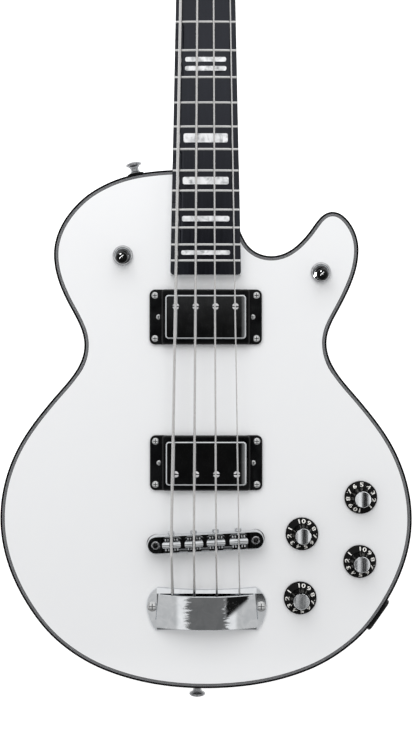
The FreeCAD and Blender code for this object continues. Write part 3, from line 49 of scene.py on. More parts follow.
def addNode(tree, kind, values=None, links=None, stops=None, into=(), **settings):
    # one node with its settings, socket values, ramp stops, what is plugged into it and where it goes
    node = tree.nodes.new(kind)
    for name, value in settings.items():
        setattr(node, name, value)
    for socket, value in (values or {}).items():
        node.inputs[socket].default_value = value
    for socket, source in (links or {}).items():
        tree.links.new(source, node.inputs[socket])
    for i, (position, hexCode) in enumerate(stops or []):
        ramp = node.color_ramp.elements
        stop = ramp[i] if i < len(ramp) else ramp.new(position)
        stop.position, stop.color = position, linear(hexCode)
    for socket in into:
        tree.links.new(node.outputs[0], socket)
    return node


def newMaterial(name, **values):
    # a Principled material with its constants on its own sockets
    material = bpy.data.materials.new(name)
    material.use_nodes = True
    tree = material.node_tree
    shader = tree.nodes["Principled BSDF"].inputs
    for socket, value in values.items():
        shader[socket.replace("_", " ")].default_value = value
    place = addNode(tree, "ShaderNodeTexCoord").outputs["Object"]
    return material, tree, shader, place


# the part of a pattern that drives the gloss, and the painted shade in narrow slots: its dark colour, how shut a
# slot must be for full shade and for none, and the occlusion samples
glossAndShade = {"glossFrom": 0.2, "glossTo": 0.8, "slotShade": "#0C0C0C", "shut": 0.55, "open": 0.9, "samples": 8}


def dress(tree, shader, pattern, look, relief=None, coat=False):
    # one pattern drives the colour and the gloss, it or another one the relief, and painted shade from ambient
    # occlusion darkens narrow slots
    colour = addNode(tree, "ShaderNodeValToRGB", links={"Fac": pattern}, stops=look["stops"],
                     into=[shader["Base Color"]])
    # painted shade: the base colour is mixed towards a dark grey where ambient occlusion finds a narrow slot or
    # hollow
    if "slotShadeMm" in look:
        shut = addNode(tree, "ShaderNodeAmbientOcclusion", {"Distance": look["slotShadeMm"] * mm},
                       only_local=True, samples=glossAndShade["samples"])
        unshaded = addNode(tree, "ShaderNodeMapRange", {"From Min": glossAndShade["shut"], "From Max": glossAndShade["open"]},
                        {"Value": shut.outputs["AO"]})
        addNode(tree, "ShaderNodeMixRGB", {"Color1": linear(glossAndShade["slotShade"])},
                {"Fac": unshaded.outputs["Result"], "Color2": colour.outputs["Color"]}, into=[shader["Base Color"]])
    low, high = look["rough"]
    addNode(tree, "ShaderNodeMapRange", {"From Min": glossAndShade["glossFrom"], "From Max": glossAndShade["glossTo"],
                                         "To Min": low, "To Max": high}, {"Value": pattern},
            into=[shader["Roughness"]])
    if "bump" in look:
        depthMm, strength = look["bump"]
        addNode(tree, "ShaderNodeBump", {"Strength": strength, "Distance": depthMm * mm},
                {"Height": relief or pattern},
                into=[shader["Normal"]] + ([shader["Coat Normal"]] if coat else []))


def mottled(name, look, **values):
    # a finish with one cloudy pattern
    material, tree, shader, place = newMaterial(name, **values)
    cloud = addNode(tree, "ShaderNodeTexNoise", {"Scale": 1 / (look["sizeMm"] * mm), "Detail": look["detail"]},
                    {"Vector": place})
    dress(tree, shader, cloud.outputs["Fac"], look)
    return material


def sprayed(name, look, **values):
    # a lacquer with a slow cloud in its colour and orange peel in its face and its clear coat
    material, tree, shader, place = newMaterial(name, **values)
    cloud = addNode(tree, "ShaderNodeTexNoise", {"Scale": 1 / (look["cloudMm"] * mm), "Detail": 3.0},
                    {"Vector": place})
    peel = addNode(tree, "ShaderNodeTexNoise", {"Scale": 1 / (look["peelMm"] * mm), "Detail": 1.0},
                   {"Vector": place})
    dress(tree, shader, cloud.outputs["Fac"], look, peel.outputs["Fac"], coat=True)
    return material


# knobs by number: x and y of the middle in mm, and where the ten stands in degrees
knobs = {1: (135.2, 26.4, -160.5), 2: (83.9, -5.4, 0.0), 3: (134.3, -29.5, 14.0), 4: (82.3, -61.3, 8.0)}

# sprayed polyester, sanded and buffed: a deep even white under a clear mirror coat, faint orange peel
lacquer = {"stops": [(0.0, "#F1F2F4"), (1.0, "#F2F3F4")], "rough": (0.29, 0.31), "bump": (0.01, 0.03),
           "cloudMm": 12, "peelMm": 2.2}
whiteLacquer = sprayed("buffed_white_lacquer", lacquer, Coat_Weight=1.0, Coat_Roughness=0.035, Coat_IOR=1.5)

# black lacquer on the headstock veneer: piano black with faint orange peel
piano = {"stops": [(0.35, "#050505"), (0.7, "#0D0D0E")], "rough": (0.16, 0.26), "bump": (0.02, 0.10),
         "cloudMm": 40, "peelMm": 2.2}
blackLacquer = sprayed("black_piano_lacquer", piano, Coat_Weight=1.0, Coat_Roughness=0.03, IOR=1.5)

# scraped celluloid binding: matt black edge with fine scrape marks across it
binding = {"stops": [(0.3, "#09090A"), (0.75, "#111112")], "rough": (0.4, 0.55), "bump": (0.01, 0.1),
           "sizeMm": 1.5, "detail": 4.0}
blackBinding = mottled("scraped_black_celluloid", binding, IOR=1.46, Specular_IOR_Level=0.04)

# pale celluloid plies, grey beside the lacquer
pale = {"stops": [(0.3, "#A0A1A4"), (0.7, "#ABACAF")], "rough": (0.28, 0.4), "sizeMm": 6, "detail": 3.0}
whiteBinding = mottled("pale_celluloid_ply", pale, IOR=1.46, Specular_IOR_Level=0.1)

# moulded ABS out of a polished tool: black, wet-looking, with wipe marks in the gloss
moulded = {"stops": [(0.3, "#060607"), (0.75, "#111213")], "rough": (0.1, 0.22), "bump": (0.01, 0.08),
           "wipeMm": 14, "wipeTwist": 0.6, "grainMm": 0.8}
blackPlastic, tree, shader, place = newMaterial("moulded_black_abs", IOR=1.53, Specular_IOR_Level=0.3)
wipe = addNode(tree, "ShaderNodeTexNoise", {"Scale": 1 / (moulded["wipeMm"] * mm), "Detail": 5.0,
                                            "Distortion": moulded["wipeTwist"]}, {"Vector": place})
grain = addNode(tree, "ShaderNodeTexNoise", {"Scale": 1 / (moulded["grainMm"] * mm), "Detail": 2.0},
                {"Vector": place})
dress(tree, shader, wipe.outputs["Fac"], moulded, grain.outputs["Fac"])

# turned phenolic of the knobs, left satin: jet black that shows little of the room
satin = {"stops": [(0.3, "#030303"), (0.75, "#080808")], "rough": (0.2, 0.3), "sizeMm": 5, "detail": 4.0}
knobPlastic = mottled("satin_black_phenolic", satin, IOR=1.5, Specular_IOR_Level=0.14)

# polished phenolic of the switch tips: jet black with a hard shine
polished = {"stops": [(0.3, "#000000"), (0.75, "#010101")], "rough": (0.04, 0.09), "sizeMm": 4, "detail": 4.0}
tipPlastic = mottled("polished_black_phenolic", polished, IOR=1.5, Specular_IOR_Level=0.12)

# oiled ebony: cold near black with greyer streaks and short open pores along the neck
ebony = {"stops": [(0.3, "#08080C"), (0.55, "#0F0F14"), (0.8, "#19191F")], "rough": (0.1, 0.17),
         "bump": (0.03, 0.15), "streakMm": 1.6, "poreMm": 0.35, "stretch": 18}
blackFretboard, tree, shader, place = newMaterial("oiled_ebony", IOR=1.5, Specular_Tint=linear("#EAF0FF"))
along = addNode(tree, "ShaderNodeMapping", {"Scale": (1, 1 / ebony["stretch"], 1)}, {"Vector": place})
streak = addNode(tree, "ShaderNodeTexNoise", {"Scale": 1 / (ebony["streakMm"] * mm), "Detail": 6.0,
                                              "Roughness": 0.6}, {"Vector": along.outputs["Vector"]})
pore = addNode(tree, "ShaderNodeTexNoise", {"Scale": 1 / (ebony["poreMm"] * mm), "Detail": 2.0},
               {"Vector": along.outputs["Vector"]})
dress(tree, shader, streak.outputs["Fac"], ebony, pore.outputs["Fac"])

# drawn nickel silver wire, crowned and polished: pale bright metal, faint lines from the polishing
fretWire = {"stops": [(0.3, "#DADADA"), (0.7, "#F2F2F1")], "rough": (0.08, 0.16), "lineMm": 0.6, "stretch": 20}
nickelSilver, tree, shader, place = newMaterial("polished_nickel_silver", Metallic=1.0)
across = addNode(tree, "ShaderNodeMapping", {"Scale": (1 / fretWire["stretch"], 1, 1)}, {"Vector": place})
line = addNode(tree, "ShaderNodeTexNoise", {"Scale": 1 / (fretWire["lineMm"] * mm), "Detail": 3.0},
               {"Vector": across.outputs["Vector"]})
dress(tree, shader, line.outputs["Fac"], fretWire)

# pearl celluloid: overlapping silvery flakes under a polished face
pearl = {"stops": [(0.42, "#8E9093"), (0.62, "#C6C8CA"), (0.85, "#EDEEF0")], "rough": (0.16, 0.3),
         "flakeMm": 5, "flakeShare": 0.6, "cloudMm": 9, "cloudTwist": 1.6}
pearloid, tree, shader, place = newMaterial("pearl_celluloid", IOR=1.5, Coat_Weight=0.8, Coat_Roughness=0.05)
cloud = addNode(tree, "ShaderNodeTexNoise", {"Scale": 1 / (pearl["cloudMm"] * mm), "Detail": 4.0,
                                             "Distortion": pearl["cloudTwist"]}, {"Vector": place})
flake = addNode(tree, "ShaderNodeTexVoronoi", {"Scale": 1 / (pearl["flakeMm"] * mm), "Randomness": 1.0},
                {"Vector": place}, feature="SMOOTH_F1")
swirl = addNode(tree, "ShaderNodeMath", {1: pearl["flakeShare"]},
                {0: flake.outputs["Distance"], 2: cloud.outputs["Fac"]}, operation="MULTIPLY_ADD")
dress(tree, shader, swirl.outputs["Value"], pearl)

# filed and buffed bone-coloured plastic: ivory with a soft mottle
bone = {"stops": [(0.3, "#D9D0BA"), (0.7, "#EFE8D8")], "rough": (0.28, 0.42), "sizeMm": 3, "detail": 4.0}
bonePlastic = mottled("buffed_bone_plastic", bone, IOR=1.5)

# zinc-plated steel of the parts inside: dull grey with a crystalline bloom
zinc = {"stops": [(0.2, "#8D9092"), (0.7, "#B9BBBC")], "rough": (0.3, 0.45), "bloomMm": 2.5}
plainSteel, tree, shader, place = newMaterial("zinc_plated_steel", Metallic=1.0)
bloom = addNode(tree, "ShaderNodeTexVoronoi", {"Scale": 1 / (zinc["bloomMm"] * mm)}, {"Vector": place})
dress(tree, shader, bloom.outputs["Distance"], zinc)

# bright chrome plating over polished castings: neutral mirror, slow ripples and a breath of wipe marks
plating = {"stops": [(0.3, "#D2D5D8"), (0.7, "#E4E6E8")], "rough": (0.03, 0.08), "bump": (0.06, 0.12),
           "wipeMm": 9, "wipeTwist": 0.8, "rippleMm": 16}
chrome, tree, shader, place = newMaterial("chrome_plating", Metallic=1.0)
wipe = addNode(tree, "ShaderNodeTexNoise", {"Scale": 1 / (plating["wipeMm"] * mm), "Detail": 6.0,
                                            "Distortion": plating["wipeTwist"]}, {"Vector": place})
ripple = addNode(tree, "ShaderNodeTexNoise", {"Scale": 1 / (plating["rippleMm"] * mm), "Detail": 1.0},
                 {"Vector": place})
dress(tree, shader, wipe.outputs["Fac"], plating, ripple.outputs["Fac"])


def moreChrome(name):
    # a copy of the chrome for a piece that bends it in its own way, with the position split into x, y and z
    material = chrome.copy()
    material.name = name
    tree = material.node_tree
    place = addNode(tree, "ShaderNodeTexCoord").outputs["Object"]
    spot = addNode(tree, "ShaderNodeSeparateXYZ", links={"Vector": place}).outputs
    return material, tree, tree.nodes["Principled BSDF"].inputs, spot


# the same chrome on the arched tail cover, buffed brighter than the castings
archGloss = {"To Min": 0.0, "To Max": 0.03}
archChrome = chrome.copy()
archChrome.name = "chrome_on_arched_cover"
for socket, rough in archGloss.items():
    archChrome.node_tree.nodes["Map Range"].inputs[socket].default_value = rough

# the same chrome on the pressed tail plate, whose sheet falls away to its ends and to its front edge
pressing = {"middleX": 0.9 * mm, "earX": 43.5 * mm, "earFall": math.tan(math.radians(21)), "lipY": -57.4 * mm,
            "lipFall": math.tan(math.radians(24))}
tailChrome, tree, shader, spot = moreChrome("chrome_on_pressed_plate")
aside = addNode(tree, "ShaderNodeMath", {1: pressing["middleX"]}, {0: spot["X"]}, operation="SUBTRACT")
aside = addNode(tree, "ShaderNodeMath", links={0: aside.outputs["Value"]}, operation="ABSOLUTE")
ear = addNode(tree, "ShaderNodeMath", {1: pressing["earX"]}, {0: aside.outputs["Value"]}, operation="SUBTRACT")
ear = addNode(tree, "ShaderNodeMath", {1: 0.0}, {0: ear.outputs["Value"]}, operation="MAXIMUM")
lip = addNode(tree, "ShaderNodeMath", {1: pressing["lipY"]}, {0: spot["Y"]}, operation="SUBTRACT")
lip = addNode(tree, "ShaderNodeMath", {1: 0.0}, {0: lip.outputs["Value"]}, operation="MAXIMUM")
fall = addNode(tree, "ShaderNodeMath", {1: -pressing["lipFall"]}, {0: lip.outputs["Value"]}, operation="MULTIPLY")
fall = addNode(tree, "ShaderNodeMath", {1: -pressing["earFall"]},
               {0: ear.outputs["Value"], 2: fall.outputs["Value"]}, operation="MULTIPLY_ADD")
addNode(tree, "ShaderNodeBump", {"Strength": 1.0, "Distance": 1.0}, {"Height": fall.outputs["Value"]},
        into=[shader["Normal"]])

# the same chrome on the deep-drawn pickup covers, whose faces ease down towards the treble end
drawing = {"easeX": 29.0 * mm, "ease": 7.5}
coverChrome, tree, shader, spot = moreChrome("chrome_on_drawn_covers")
ease = addNode(tree, "ShaderNodeMath", {1: drawing["easeX"]}, {0: spot["X"]}, operation="SUBTRACT")
ease = addNode(tree, "ShaderNodeMath", {1: 0.0}, {0: ease.outputs["Value"]}, operation="MAXIMUM")
fall = addNode(tree, "ShaderNodeMath", {1: -drawing["ease"]}, {0: ease.outputs["Value"]}, operation="MULTIPLY")
fall = addNode(tree, "ShaderNodeMath", links={0: fall.outputs["Value"], 1: ease.outputs["Value"]},
               operation="MULTIPLY")
addNode(tree, "ShaderNodeBump", {"Strength": 1.0, "Distance": 1.0}, {"Height": fall.outputs["Value"]},
        into=[shader["Normal"]])

# chrome of the bridge, with painted shade dark down in its channel and between the saddles' rails
cast = {"stops": [(0.3, "#C8CBCE"), (0.7, "#DFE1E3")], "rough": (0.03, 0.08), "slotShadeMm": 4.0, "sizeMm": 6,
        "detail": 5.0}
bridgeChrome = mottled("chrome_on_bridge_casting", cast, Metallic=1.0)

# nickel on the bridge posts and pole screws: greyer and softer than the chrome, with painted shade in the sockets
# and slots
dull = {"stops": [(0.3, "#BEBEC0"), (0.7, "#DADADC")], "rough": (0.12, 0.2), "slotShadeMm": 2.5, "sizeMm": 3,
        "detail": 4.0}
dullNickel = mottled("dull_nickel_plating", dull, Metallic=1.0)

# nickel rubbed by the strap and by cloth: a darker grey with soft scuffs
worn = {"stops": [(0.3, "#858688"), (0.7, "#ABACAE")], "rough": (0.05, 0.12), "sizeMm": 4, "detail": 5.0}
wornNickel = mottled("worn_nickel_plating", worn, Metallic=1.0)

# nickel of the switch nuts, with painted shade dark down inside the ring
ringNut = {"stops": [(0.3, "#B4B5B7"), (0.7, "#D4D5D7")], "rough": (0.06, 0.12), "slotShadeMm": 6.0, "sizeMm": 3,
           "detail": 4.0}
ringNickel = mottled("nickel_ring_nut", ringNut, Metallic=1.0)

# brushed chrome of the knob caps: hairlines along the neck, so that the dished tops reflect in upright streaks
brushed = {"stops": [(0.3, "#D6D9DC"), (0.7, "#E8EAEC")], "rough": (0.08, 0.16), "hairMm": 0.9, "stretch": 14,
           "dishRadius": 29.4 * mm, "wave": 0.03 * mm}
capFinishes = {}
for number, (x, y, tenDeg) in knobs.items():
    brushedChrome, tree, shader, place = newMaterial("brushed_chrome_cap_%d" % number, Metallic=1.0)
    along = addNode(tree, "ShaderNodeMapping", {"Scale": (1, 1 / brushed["stretch"], 1)}, {"Vector": place})
    hair = addNode(tree, "ShaderNodeTexNoise", {"Scale": 1 / (brushed["hairMm"] * mm), "Detail": 3.0},
                   {"Vector": along.outputs["Vector"]})
    dress(tree, shader, hair.outputs["Fac"], brushed)
    spot = addNode(tree, "ShaderNodeSeparateXYZ", links={"Vector": place}).outputs
    off = addNode(tree, "ShaderNodeMath", {1: y * mm}, {0: spot["Y"]}, operation="SUBTRACT").outputs["Value"]
    flat = addNode(tree, "ShaderNodeMath", {1: -0.5 / brushed["dishRadius"]}, {0: off}, operation="MULTIPLY")
    flat = addNode(tree, "ShaderNodeMath", links={0: flat.outputs["Value"], 1: off}, operation="MULTIPLY")
    flat = addNode(tree, "ShaderNodeMath", {1: brushed["wave"]},
                   {0: hair.outputs["Fac"], 2: flat.outputs["Value"]}, operation="MULTIPLY_ADD")
    addNode(tree, "ShaderNodeBump", {"Strength": 1.0, "Distance": 1.0}, {"Height": flat.outputs["Value"]},
            into=[shader["Normal"]])
    capFinishes["knob_spindle_%d" % number] = brushedChrome

# nickel wrap wire wound on a steel core: silver grey with close turns, drawn coarser than real to show
windings = {"stops": [(0.1, "#C6C5C5"), (0.7, "#E6E5E4")], "rough": (0.14, 0.24), "bump": (0.05, 0.3),
            "turnMm": 0.6, "bandsPerMetre": 3.183, "waver": 0.2}  # bands that the wave texture has at scale 1
stringSteel, tree, shader, place = newMaterial("nickel_wound_string", Metallic=1.0)
turns = addNode(tree, "ShaderNodeTexWave", {"Scale": 1 / (windings["turnMm"] * mm) / windings["bandsPerMetre"],
                                            "Distortion": windings["waver"]}, {"Vector": place},
                wave_type="BANDS", bands_direction="Y")
dress(tree, shader, turns.outputs["Fac"], windings)

# pressed wool felt: dull black fibres that stand up at the edge
pressed = {"stops": [(0.3, "#060607"), (0.7, "#141415")], "rough": (0.8, 0.95), "bump": (0.3, 0.6),
           "sizeMm": 0.5, "detail": 6.0}
felt = mottled("pressed_black_felt", pressed, Specular_IOR_Level=0.1)

# nickel-plated screws: softer than chrome, fine turning lines and painted shade in the driver slots
plated = {"stops": [(0.3, "#B9BABB"), (0.7, "#DEDFDF")], "rough": (0.1, 0.2), "slotShadeMm": 1.0, "sizeMm": 0.7,
          "detail": 3.0}
screwSteel = mottled("nickel_plated_screws", plated, Metallic=1.0)

# filled white paint in the knob numerals: flat, slightly uneven
paint = {"stops": [(0.3, "#E2E1DC"), (0.6, "#F6F5F1")], "rough": (0.4, 0.55), "sizeMm": 1.2, "detail": 3.0}
numeralPaint = mottled("white_numeral_paint", paint)

finishes = {"white_lacquer": whiteLacquer, "black_binding": blackBinding, "white_binding": whiteBinding,
            "black_plastic": blackPlastic, "black_fretboard": blackFretboard, "nickel_silver": nickelSilver,
            "pearloid": pearloid, "bone_plastic": bonePlastic, "black_lacquer": blackLacquer,
            "steel": plainSteel, "chrome": chrome, "string_steel": stringSteel, "felt": felt,
            "screw_steel": screwSteel, "knob_plastic": knobPlastic}
ownFinishes = {"toggle_tip": tipPlastic, "tailpiece_base": tailChrome, "pickup_cover": coverChrome,
               "strap_buttons": wornNickel, "toggle_switches": ringNickel, "tailpiece_cover": archChrome,
               "bridge_frame": bridgeChrome, "saddle_": bridgeChrome, "bridge_posts": dullNickel,
               "pickup_poles": dullNickel, **capFinishes}
for name, node in cadNodes.items():
    for slot in node.material_slots:
        slot.material = finishes[slot.material.name.split(".")[0]]
        for start, finish in ownFinishes.items():
            if name.startswith(start):
                slot.material = finish
print("materials:", len(finishes) + len(ownFinishes), "finishes on the solids")

# plies of the binding in mm, black outside and black inside, on one smooth outline so that the thin lines stay even;
# outline corners as x and y in mm with the heading there, clockwise seen from the front
trim = {"plies": (1.8, 0.28, 0.42, 0.28, 0.42, 0.25, 0.45), "depth": 6.0 * mm, "top": 45.02 * mm, "steps": 16,
        "neckLeft": -28.6 * mm, "neckRight": 29.4 * mm, "neckY": 200 * mm, "sharpDeg": 30}
mergeDistance = 0.001 * mm
outline = [(0.0, -140.6, 180.0), (-87.6, -125.0, 158.2), (-130.1, -98.8, 138.4), (-158.0, -63.9, 121.0),
           (-179.4, 8.0, 90.0), (-165.1, 67.1, 63.3), (-134.4, 110.8, 50.0), (-106.0, 159.0, 90.0),
           (-119.0, 193.7, 118.4), (-132.6, 238.3, 90.0), (-109.3, 285.1, 43.1), (-83.1, 301.6, 23.5),
           (-30.7, 311.9, 2.9), (2.0, 311.0, -14.0), (25.0, 283.0, -90.0), (34.7, 249.4, -60.0),
           (57.4, 236.9, 0.0), (90.6, 257.9, 52.4), (110.7, 275.5, 0.0), (127.9, 262.7, -59.3),
           (133.5, 242.2, -90.0), (118.0, 193.7, -117.9), (105.5, 161.0, -90.0), (134.4, 110.8, -50.0),
           (165.2, 67.1, -63.3), (180.0, 7.0, -90.0), (158.5, -63.9, -121.0), (131.0, -98.8, -138.4),
           (89.0, -125.0, -158.2)]


def addObject(name, data):
    # an object at the origin in the scene
    thing = bpy.data.objects.new(name, data)
    bpy.context.scene.collection.objects.link(thing)
    return thing


def meshOf(curve):
    # a curve or text turned into a mesh, and the curve removed
    holder = addObject(curve.name, curve)
    bpy.context.view_layer.update()
    mesh = bpy.data.meshes.new_from_object(holder.evaluated_get(bpy.context.evaluated_depsgraph_get()))
    bpy.data.objects.remove(holder)
    bpy.data.curves.remove(curve)
    return mesh


def takeMesh(bm, mesh):
    # a mesh added to the bmesh, and removed
    bm.from_mesh(mesh)
    bpy.data.meshes.remove(mesh)


def outlineMesh():
    # the body's outline as one closed ring of edges, through every corner along its heading
    curve = bpy.data.curves.new("outline", "CURVE")
    curve.dimensions = "3D"
    curve.resolution_u = trim["steps"]
    spline = curve.splines.new("BEZIER")
    spline.bezier_points.add(len(outline) - 1)
    spline.use_cyclic_u = True
    for i, (x, y, heading) in enumerate(outline):
        point = spline.bezier_points[i]
        point.handle_left_type = point.handle_right_type = "FREE"
        point.co = (x * mm, y * mm, trim["top"])
        way = Vector((math.cos(math.radians(heading)), math.sin(math.radians(heading)), 0))
        for step in (-1, 1):
            other = outline[(i + step) % len(outline)]
            turn = abs((other[2] - heading + 180) % 360 - 180)
            reach = math.hypot(other[0] - x, other[1] - y) * mm / 3 / math.cos(math.radians(turn / 4)) ** 2
            if step < 0:
                point.handle_left = point.co - way * reach
            else:
                point.handle_right = point.co + way * reach
    return meshOf(curve)


def makePlies(name, node, firstPly, material):
    # every second ring from the outline inwards, open where the neck goes in
    bm = bmesh.new()
    takeMesh(bm, outlineMesh())
    bmesh.ops.remove_doubles(bm, verts=bm.verts, dist=mergeDistance)
    middle = bmesh.ops.contextual_create(bm, geom=bm.edges[:])["faces"][0]
    if middle.normal.z < 0:
        middle.normal_flip()
    unwanted = [middle]
    for number, width in enumerate(trim["plies"]):
        ring = bmesh.ops.inset_region(bm, faces=[middle], thickness=width * mm, use_even_offset=True,
                                      use_boundary=True)["faces"]
        if number % 2 != firstPly:
            unwanted += ring
    bmesh.ops.delete(bm, geom=unwanted, context="FACES")
    for x in (trim["neckLeft"], trim["neckRight"]):
        bmesh.ops.bisect_plane(bm, geom=bm.verts[:] + bm.edges[:] + bm.faces[:], plane_co=(x, 0, 0),
                               plane_no=(1, 0, 0))
    underNeck = [f for f in bm.faces if trim["neckLeft"] < f.calc_center_median().x < trim["neckRight"]
                 and f.calc_center_median().y > trim["neckY"]]
    bmesh.ops.delete(bm, geom=underNeck, context="FACES")
    bmesh.ops.solidify(bm, geom=bm.faces[:], thickness=trim["depth"])
    bmesh.ops.recalc_face_normals(bm, faces=bm.faces[:])
    mesh = bpy.data.meshes.new(name)
    bm.to_mesh(mesh)
    bm.free()
    mesh.shade_smooth()
    mesh.set_sharp_from_angle(angle=math.radians(trim["sharpDeg"]))
    mesh.materials.append(material)
    piece = addObject(name, mesh)
    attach(piece, "instrument")
    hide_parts(node)


makePlies("binding_dark_plies", "binding_black", 0, blackBinding)
makePlies("binding_pale_plies", "binding_white", 1, whiteBinding)
print("binding:", len(trim["plies"]), "plies")

# white numerals round the skirt of each knob, ten to one clockwise, on the slope of the skirt
dial = {"radius": 11.3 * mm, "height": 3.5 * mm, "wide": 1.5, "bold": 0.018, "spacing": 1.1, "thick": 0.01,
        "smooth": 3, "stepDeg": 32.7, "lift": 0.03 * mm, "deep": 0.05 * mm, "edgeRadius": 14.25 * mm,
        "edgeZ": 47.1 * mm, "footRadius": 9.0 * mm, "footZ": 49.6 * mm}


def makeNumeral(value):
    # one numeral as a thin mesh, at the font's own size
    curve = bpy.data.curves.new("numeral", "FONT")
    curve.body = str(value)
    curve.align_x = "CENTER"
    curve.offset = dial["bold"]
    curve.extrude = dial["thick"]
    curve.space_character = dial["spacing"]
    curve.resolution_u = dial["smooth"]
    return meshOf(curve)


def makeDial(number, x, y, tenDeg):
    bm = bmesh.new()
    slope = (dial["footZ"] - dial["edgeZ"]) / (dial["edgeRadius"] - dial["footRadius"])
    for value in range(10, 0, -1):
        start = len(bm.verts)
        takeMesh(bm, makeNumeral(value))
        bm.verts.ensure_lookup_table()
        fresh = bm.verts[start:]
        low = min(v.co.y for v in fresh)
        high = max(v.co.y for v in fresh)
        centre = (min(v.co.x for v in fresh) + max(v.co.x for v in fresh)) / 2
        size = dial["height"] / (high - low)
        middle = math.radians(tenDeg + dial["stepDeg"] * (10 - value))
        for v in fresh:  # bent round the knob and laid on its slope
            outward = dial["radius"] + (v.co.y - (low + high) / 2) * size
            turn = middle + (v.co.x - centre) * dial["wide"] * size / dial["radius"]
            rise = dial["edgeZ"] + (dial["edgeRadius"] - outward) * slope
            proud = dial["lift"] if v.co.z > 0 else -dial["deep"]
            v.co = (x * mm + outward * math.sin(turn), y * mm + outward * math.cos(turn), rise + proud)
    bmesh.ops.remove_doubles(bm, verts=bm.verts, dist=mergeDistance)
    bmesh.ops.recalc_face_normals(bm, faces=bm.faces)
    mesh = bpy.data.meshes.new("dial_numerals_%d" % number)
    bm.to_mesh(mesh)
    bm.free()
    mesh.materials.append(numeralPaint)
    piece = addObject(mesh.name, mesh)
    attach(piece, "control_knob_%d" % number)


for number, (x, y, tenDeg) in knobs.items():
    makeDial(number, x, y, tenDeg)
print("dials: numerals on", len(knobs), "knobs")

# white paper floor, shown white to the camera and to the chrome
paper = {"stops": [(0.3, "#F1F1F1"), (0.7, "#F4F4F4")], "rough": (0.8, 0.9), "fibreScale": 60.0, "glow": 0.62,
         "size": 8.0, "middle": (0, 0.3, -0.0005)}
floorPaper, tree, shader, place = newMaterial("white_seamless_paper", Emission_Color=(1, 1, 1, 1))
fibre = addNode(tree, "ShaderNodeTexNoise", {"Scale": paper["fibreScale"], "Detail": 4.0}, {"Vector": place})
dress(tree, shader, fibre.outputs["Fac"], paper)
rays = addNode(tree, "ShaderNodeLightPath")
seen = addNode(tree, "ShaderNodeMath", links={0: rays.outputs["Is Camera Ray"], 1: rays.outputs["Is Glossy Ray"]},
               operation="MAXIMUM")
seen = addNode(tree, "ShaderNodeMath", links={0: seen.outputs["Value"], 1: rays.outputs["Is Transmission Ray"]},
               operation="MAXIMUM")
addNode(tree, "ShaderNodeMath", {1: paper["glow"]}, {0: seen.outputs["Value"]}, operation="MULTIPLY",
        into=[shader["Emission Strength"]])
bm = bmesh.new()
bmesh.ops.create_grid(bm, x_segments=1, y_segments=1, size=paper["size"])
bmesh.ops.translate(bm, verts=bm.verts, vec=paper["middle"])
floorMesh = bpy.data.meshes.new("studio_floor")
bm.to_mesh(floorMesh)
bm.free()
floorMesh.materials.append(floorPaper)
floor = addObject("studio_floor", floorMesh)

# one near softbox over the neck
softbox = {"power": 4.7, "size": 0.9, "place": (-0.1, 0.75, 0.8), "aim": (0.0, 0.1, 0.05)}
lamp = bpy.data.lights.new("key_softbox", "AREA")
lamp.energy = softbox["power"]
lamp.shape = "SQUARE"
lamp.size = softbox["size"]
keyLamp = addObject("key_softbox", lamp)
keyLamp.location = softbox["place"]
keyLamp.visible_glossy = False  # kept out of the lacquer and the chrome
keyLamp.visible_camera = False
sight = Vector(softbox["aim"]) - keyLamp.location
keyLamp.rotation_euler = sight.to_track_quat("-Z", "Y").to_euler()

# glints in the polished switch tips, which nothing else shows: strip, spot and window
glintLevel = 260
glints = [{"place": (-0.15, 0.42, 0.95), "turnDeg": 42, "length": 2.4, "width": 0.1},
          {"place": (0.1, 0.27, 0.95), "turnDeg": 0, "length": 0.12, "width": 0.12},
          {"place": (-0.42, 1.3, 0.47), "aim": (0, 0.23, 0.06), "length": 0.4, "width": 0.4}]
tips = bpy.data.collections.new("switch_tips")
for name in ("toggle_tip_1", "toggle_tip_2"):
    tips.objects.link(cadNodes[name])
for glint in glints:
    lamp = bpy.data.lights.new("glint", "AREA")
    lamp.shape = "RECTANGLE"
    lamp.size = glint["length"]
    lamp.size_y = glint["width"]
    lamp.energy = glintLevel * math.pi * glint["length"] * glint["width"]
    glintLamp = addObject("glint", lamp)
    glintLamp.location = glint["place"]
    if "aim" in glint:
        sight = Vector(glint["aim"]) - glintLamp.location
        glintLamp.rotation_euler = sight.to_track_quat("-Z", "Y").to_euler()
    else:
        glintLamp.rotation_euler = (0, 0, math.radians(glint["turnDeg"]))  # hangs level
    glintLamp.visible_camera = False
    glintLamp.light_linking.receiver_collection = tips

# the room as the chrome shows it, by how far a ray rolls about the neck's line, in degrees, and leans along it:
# white walls at both sides and beyond the head, a dim foot end and horizon, and dark overhead where the camera hangs
room = {"foot": 0.35, "horizon": 0.1, "horizonEdge": (-0.02, 0.2), "raggedScale": 620.0}
allRound = ((-200, -190), (190, 200))
sideLean = ((-0.6, -0.5), (0.5, 0.6))
zones = [
    {"level": 1.0, "roll": allRound, "lean": ((0.5, 0.6), (1.1, 1.2))},  # bright wall beyond the head
    {"level": 0.64, "roll": allRound, "lean": sideLean},  # side walls
    {"level": 1.0, "roll": ((-38, -32), (32, 38)), "lean": sideLean},  # their bright upper parts
    {"level": 0.17, "roll": ((-25, -22), (22, 25)), "lean": ((-0.262, -0.245), (-0.19, -0.18)),
     "ragged": 26.0},  # beam
    {"level": 0.01, "roll": ((22, 24), (48, 51)), "lean": ((-0.239, -0.234), (-0.17, -0.15)),
     "shear": -0.00056, "ragged": 10.0},  # dark doorway
    {"level": 0.15, "roll": ((-13, -9), (9, 13)), "lean": ((-0.21, -0.19), (0.04, 0.24)),
     "ragged": 4.0},  # dim ceiling
    {"level": 0.005, "roll": ((-8, -4), (4, 8)), "lean": ((-0.2, -0.19), (0.0, 0.14)),
     "ragged": 4.0}]  # the camera's shadow
world = bpy.data.worlds.new("studio_room")
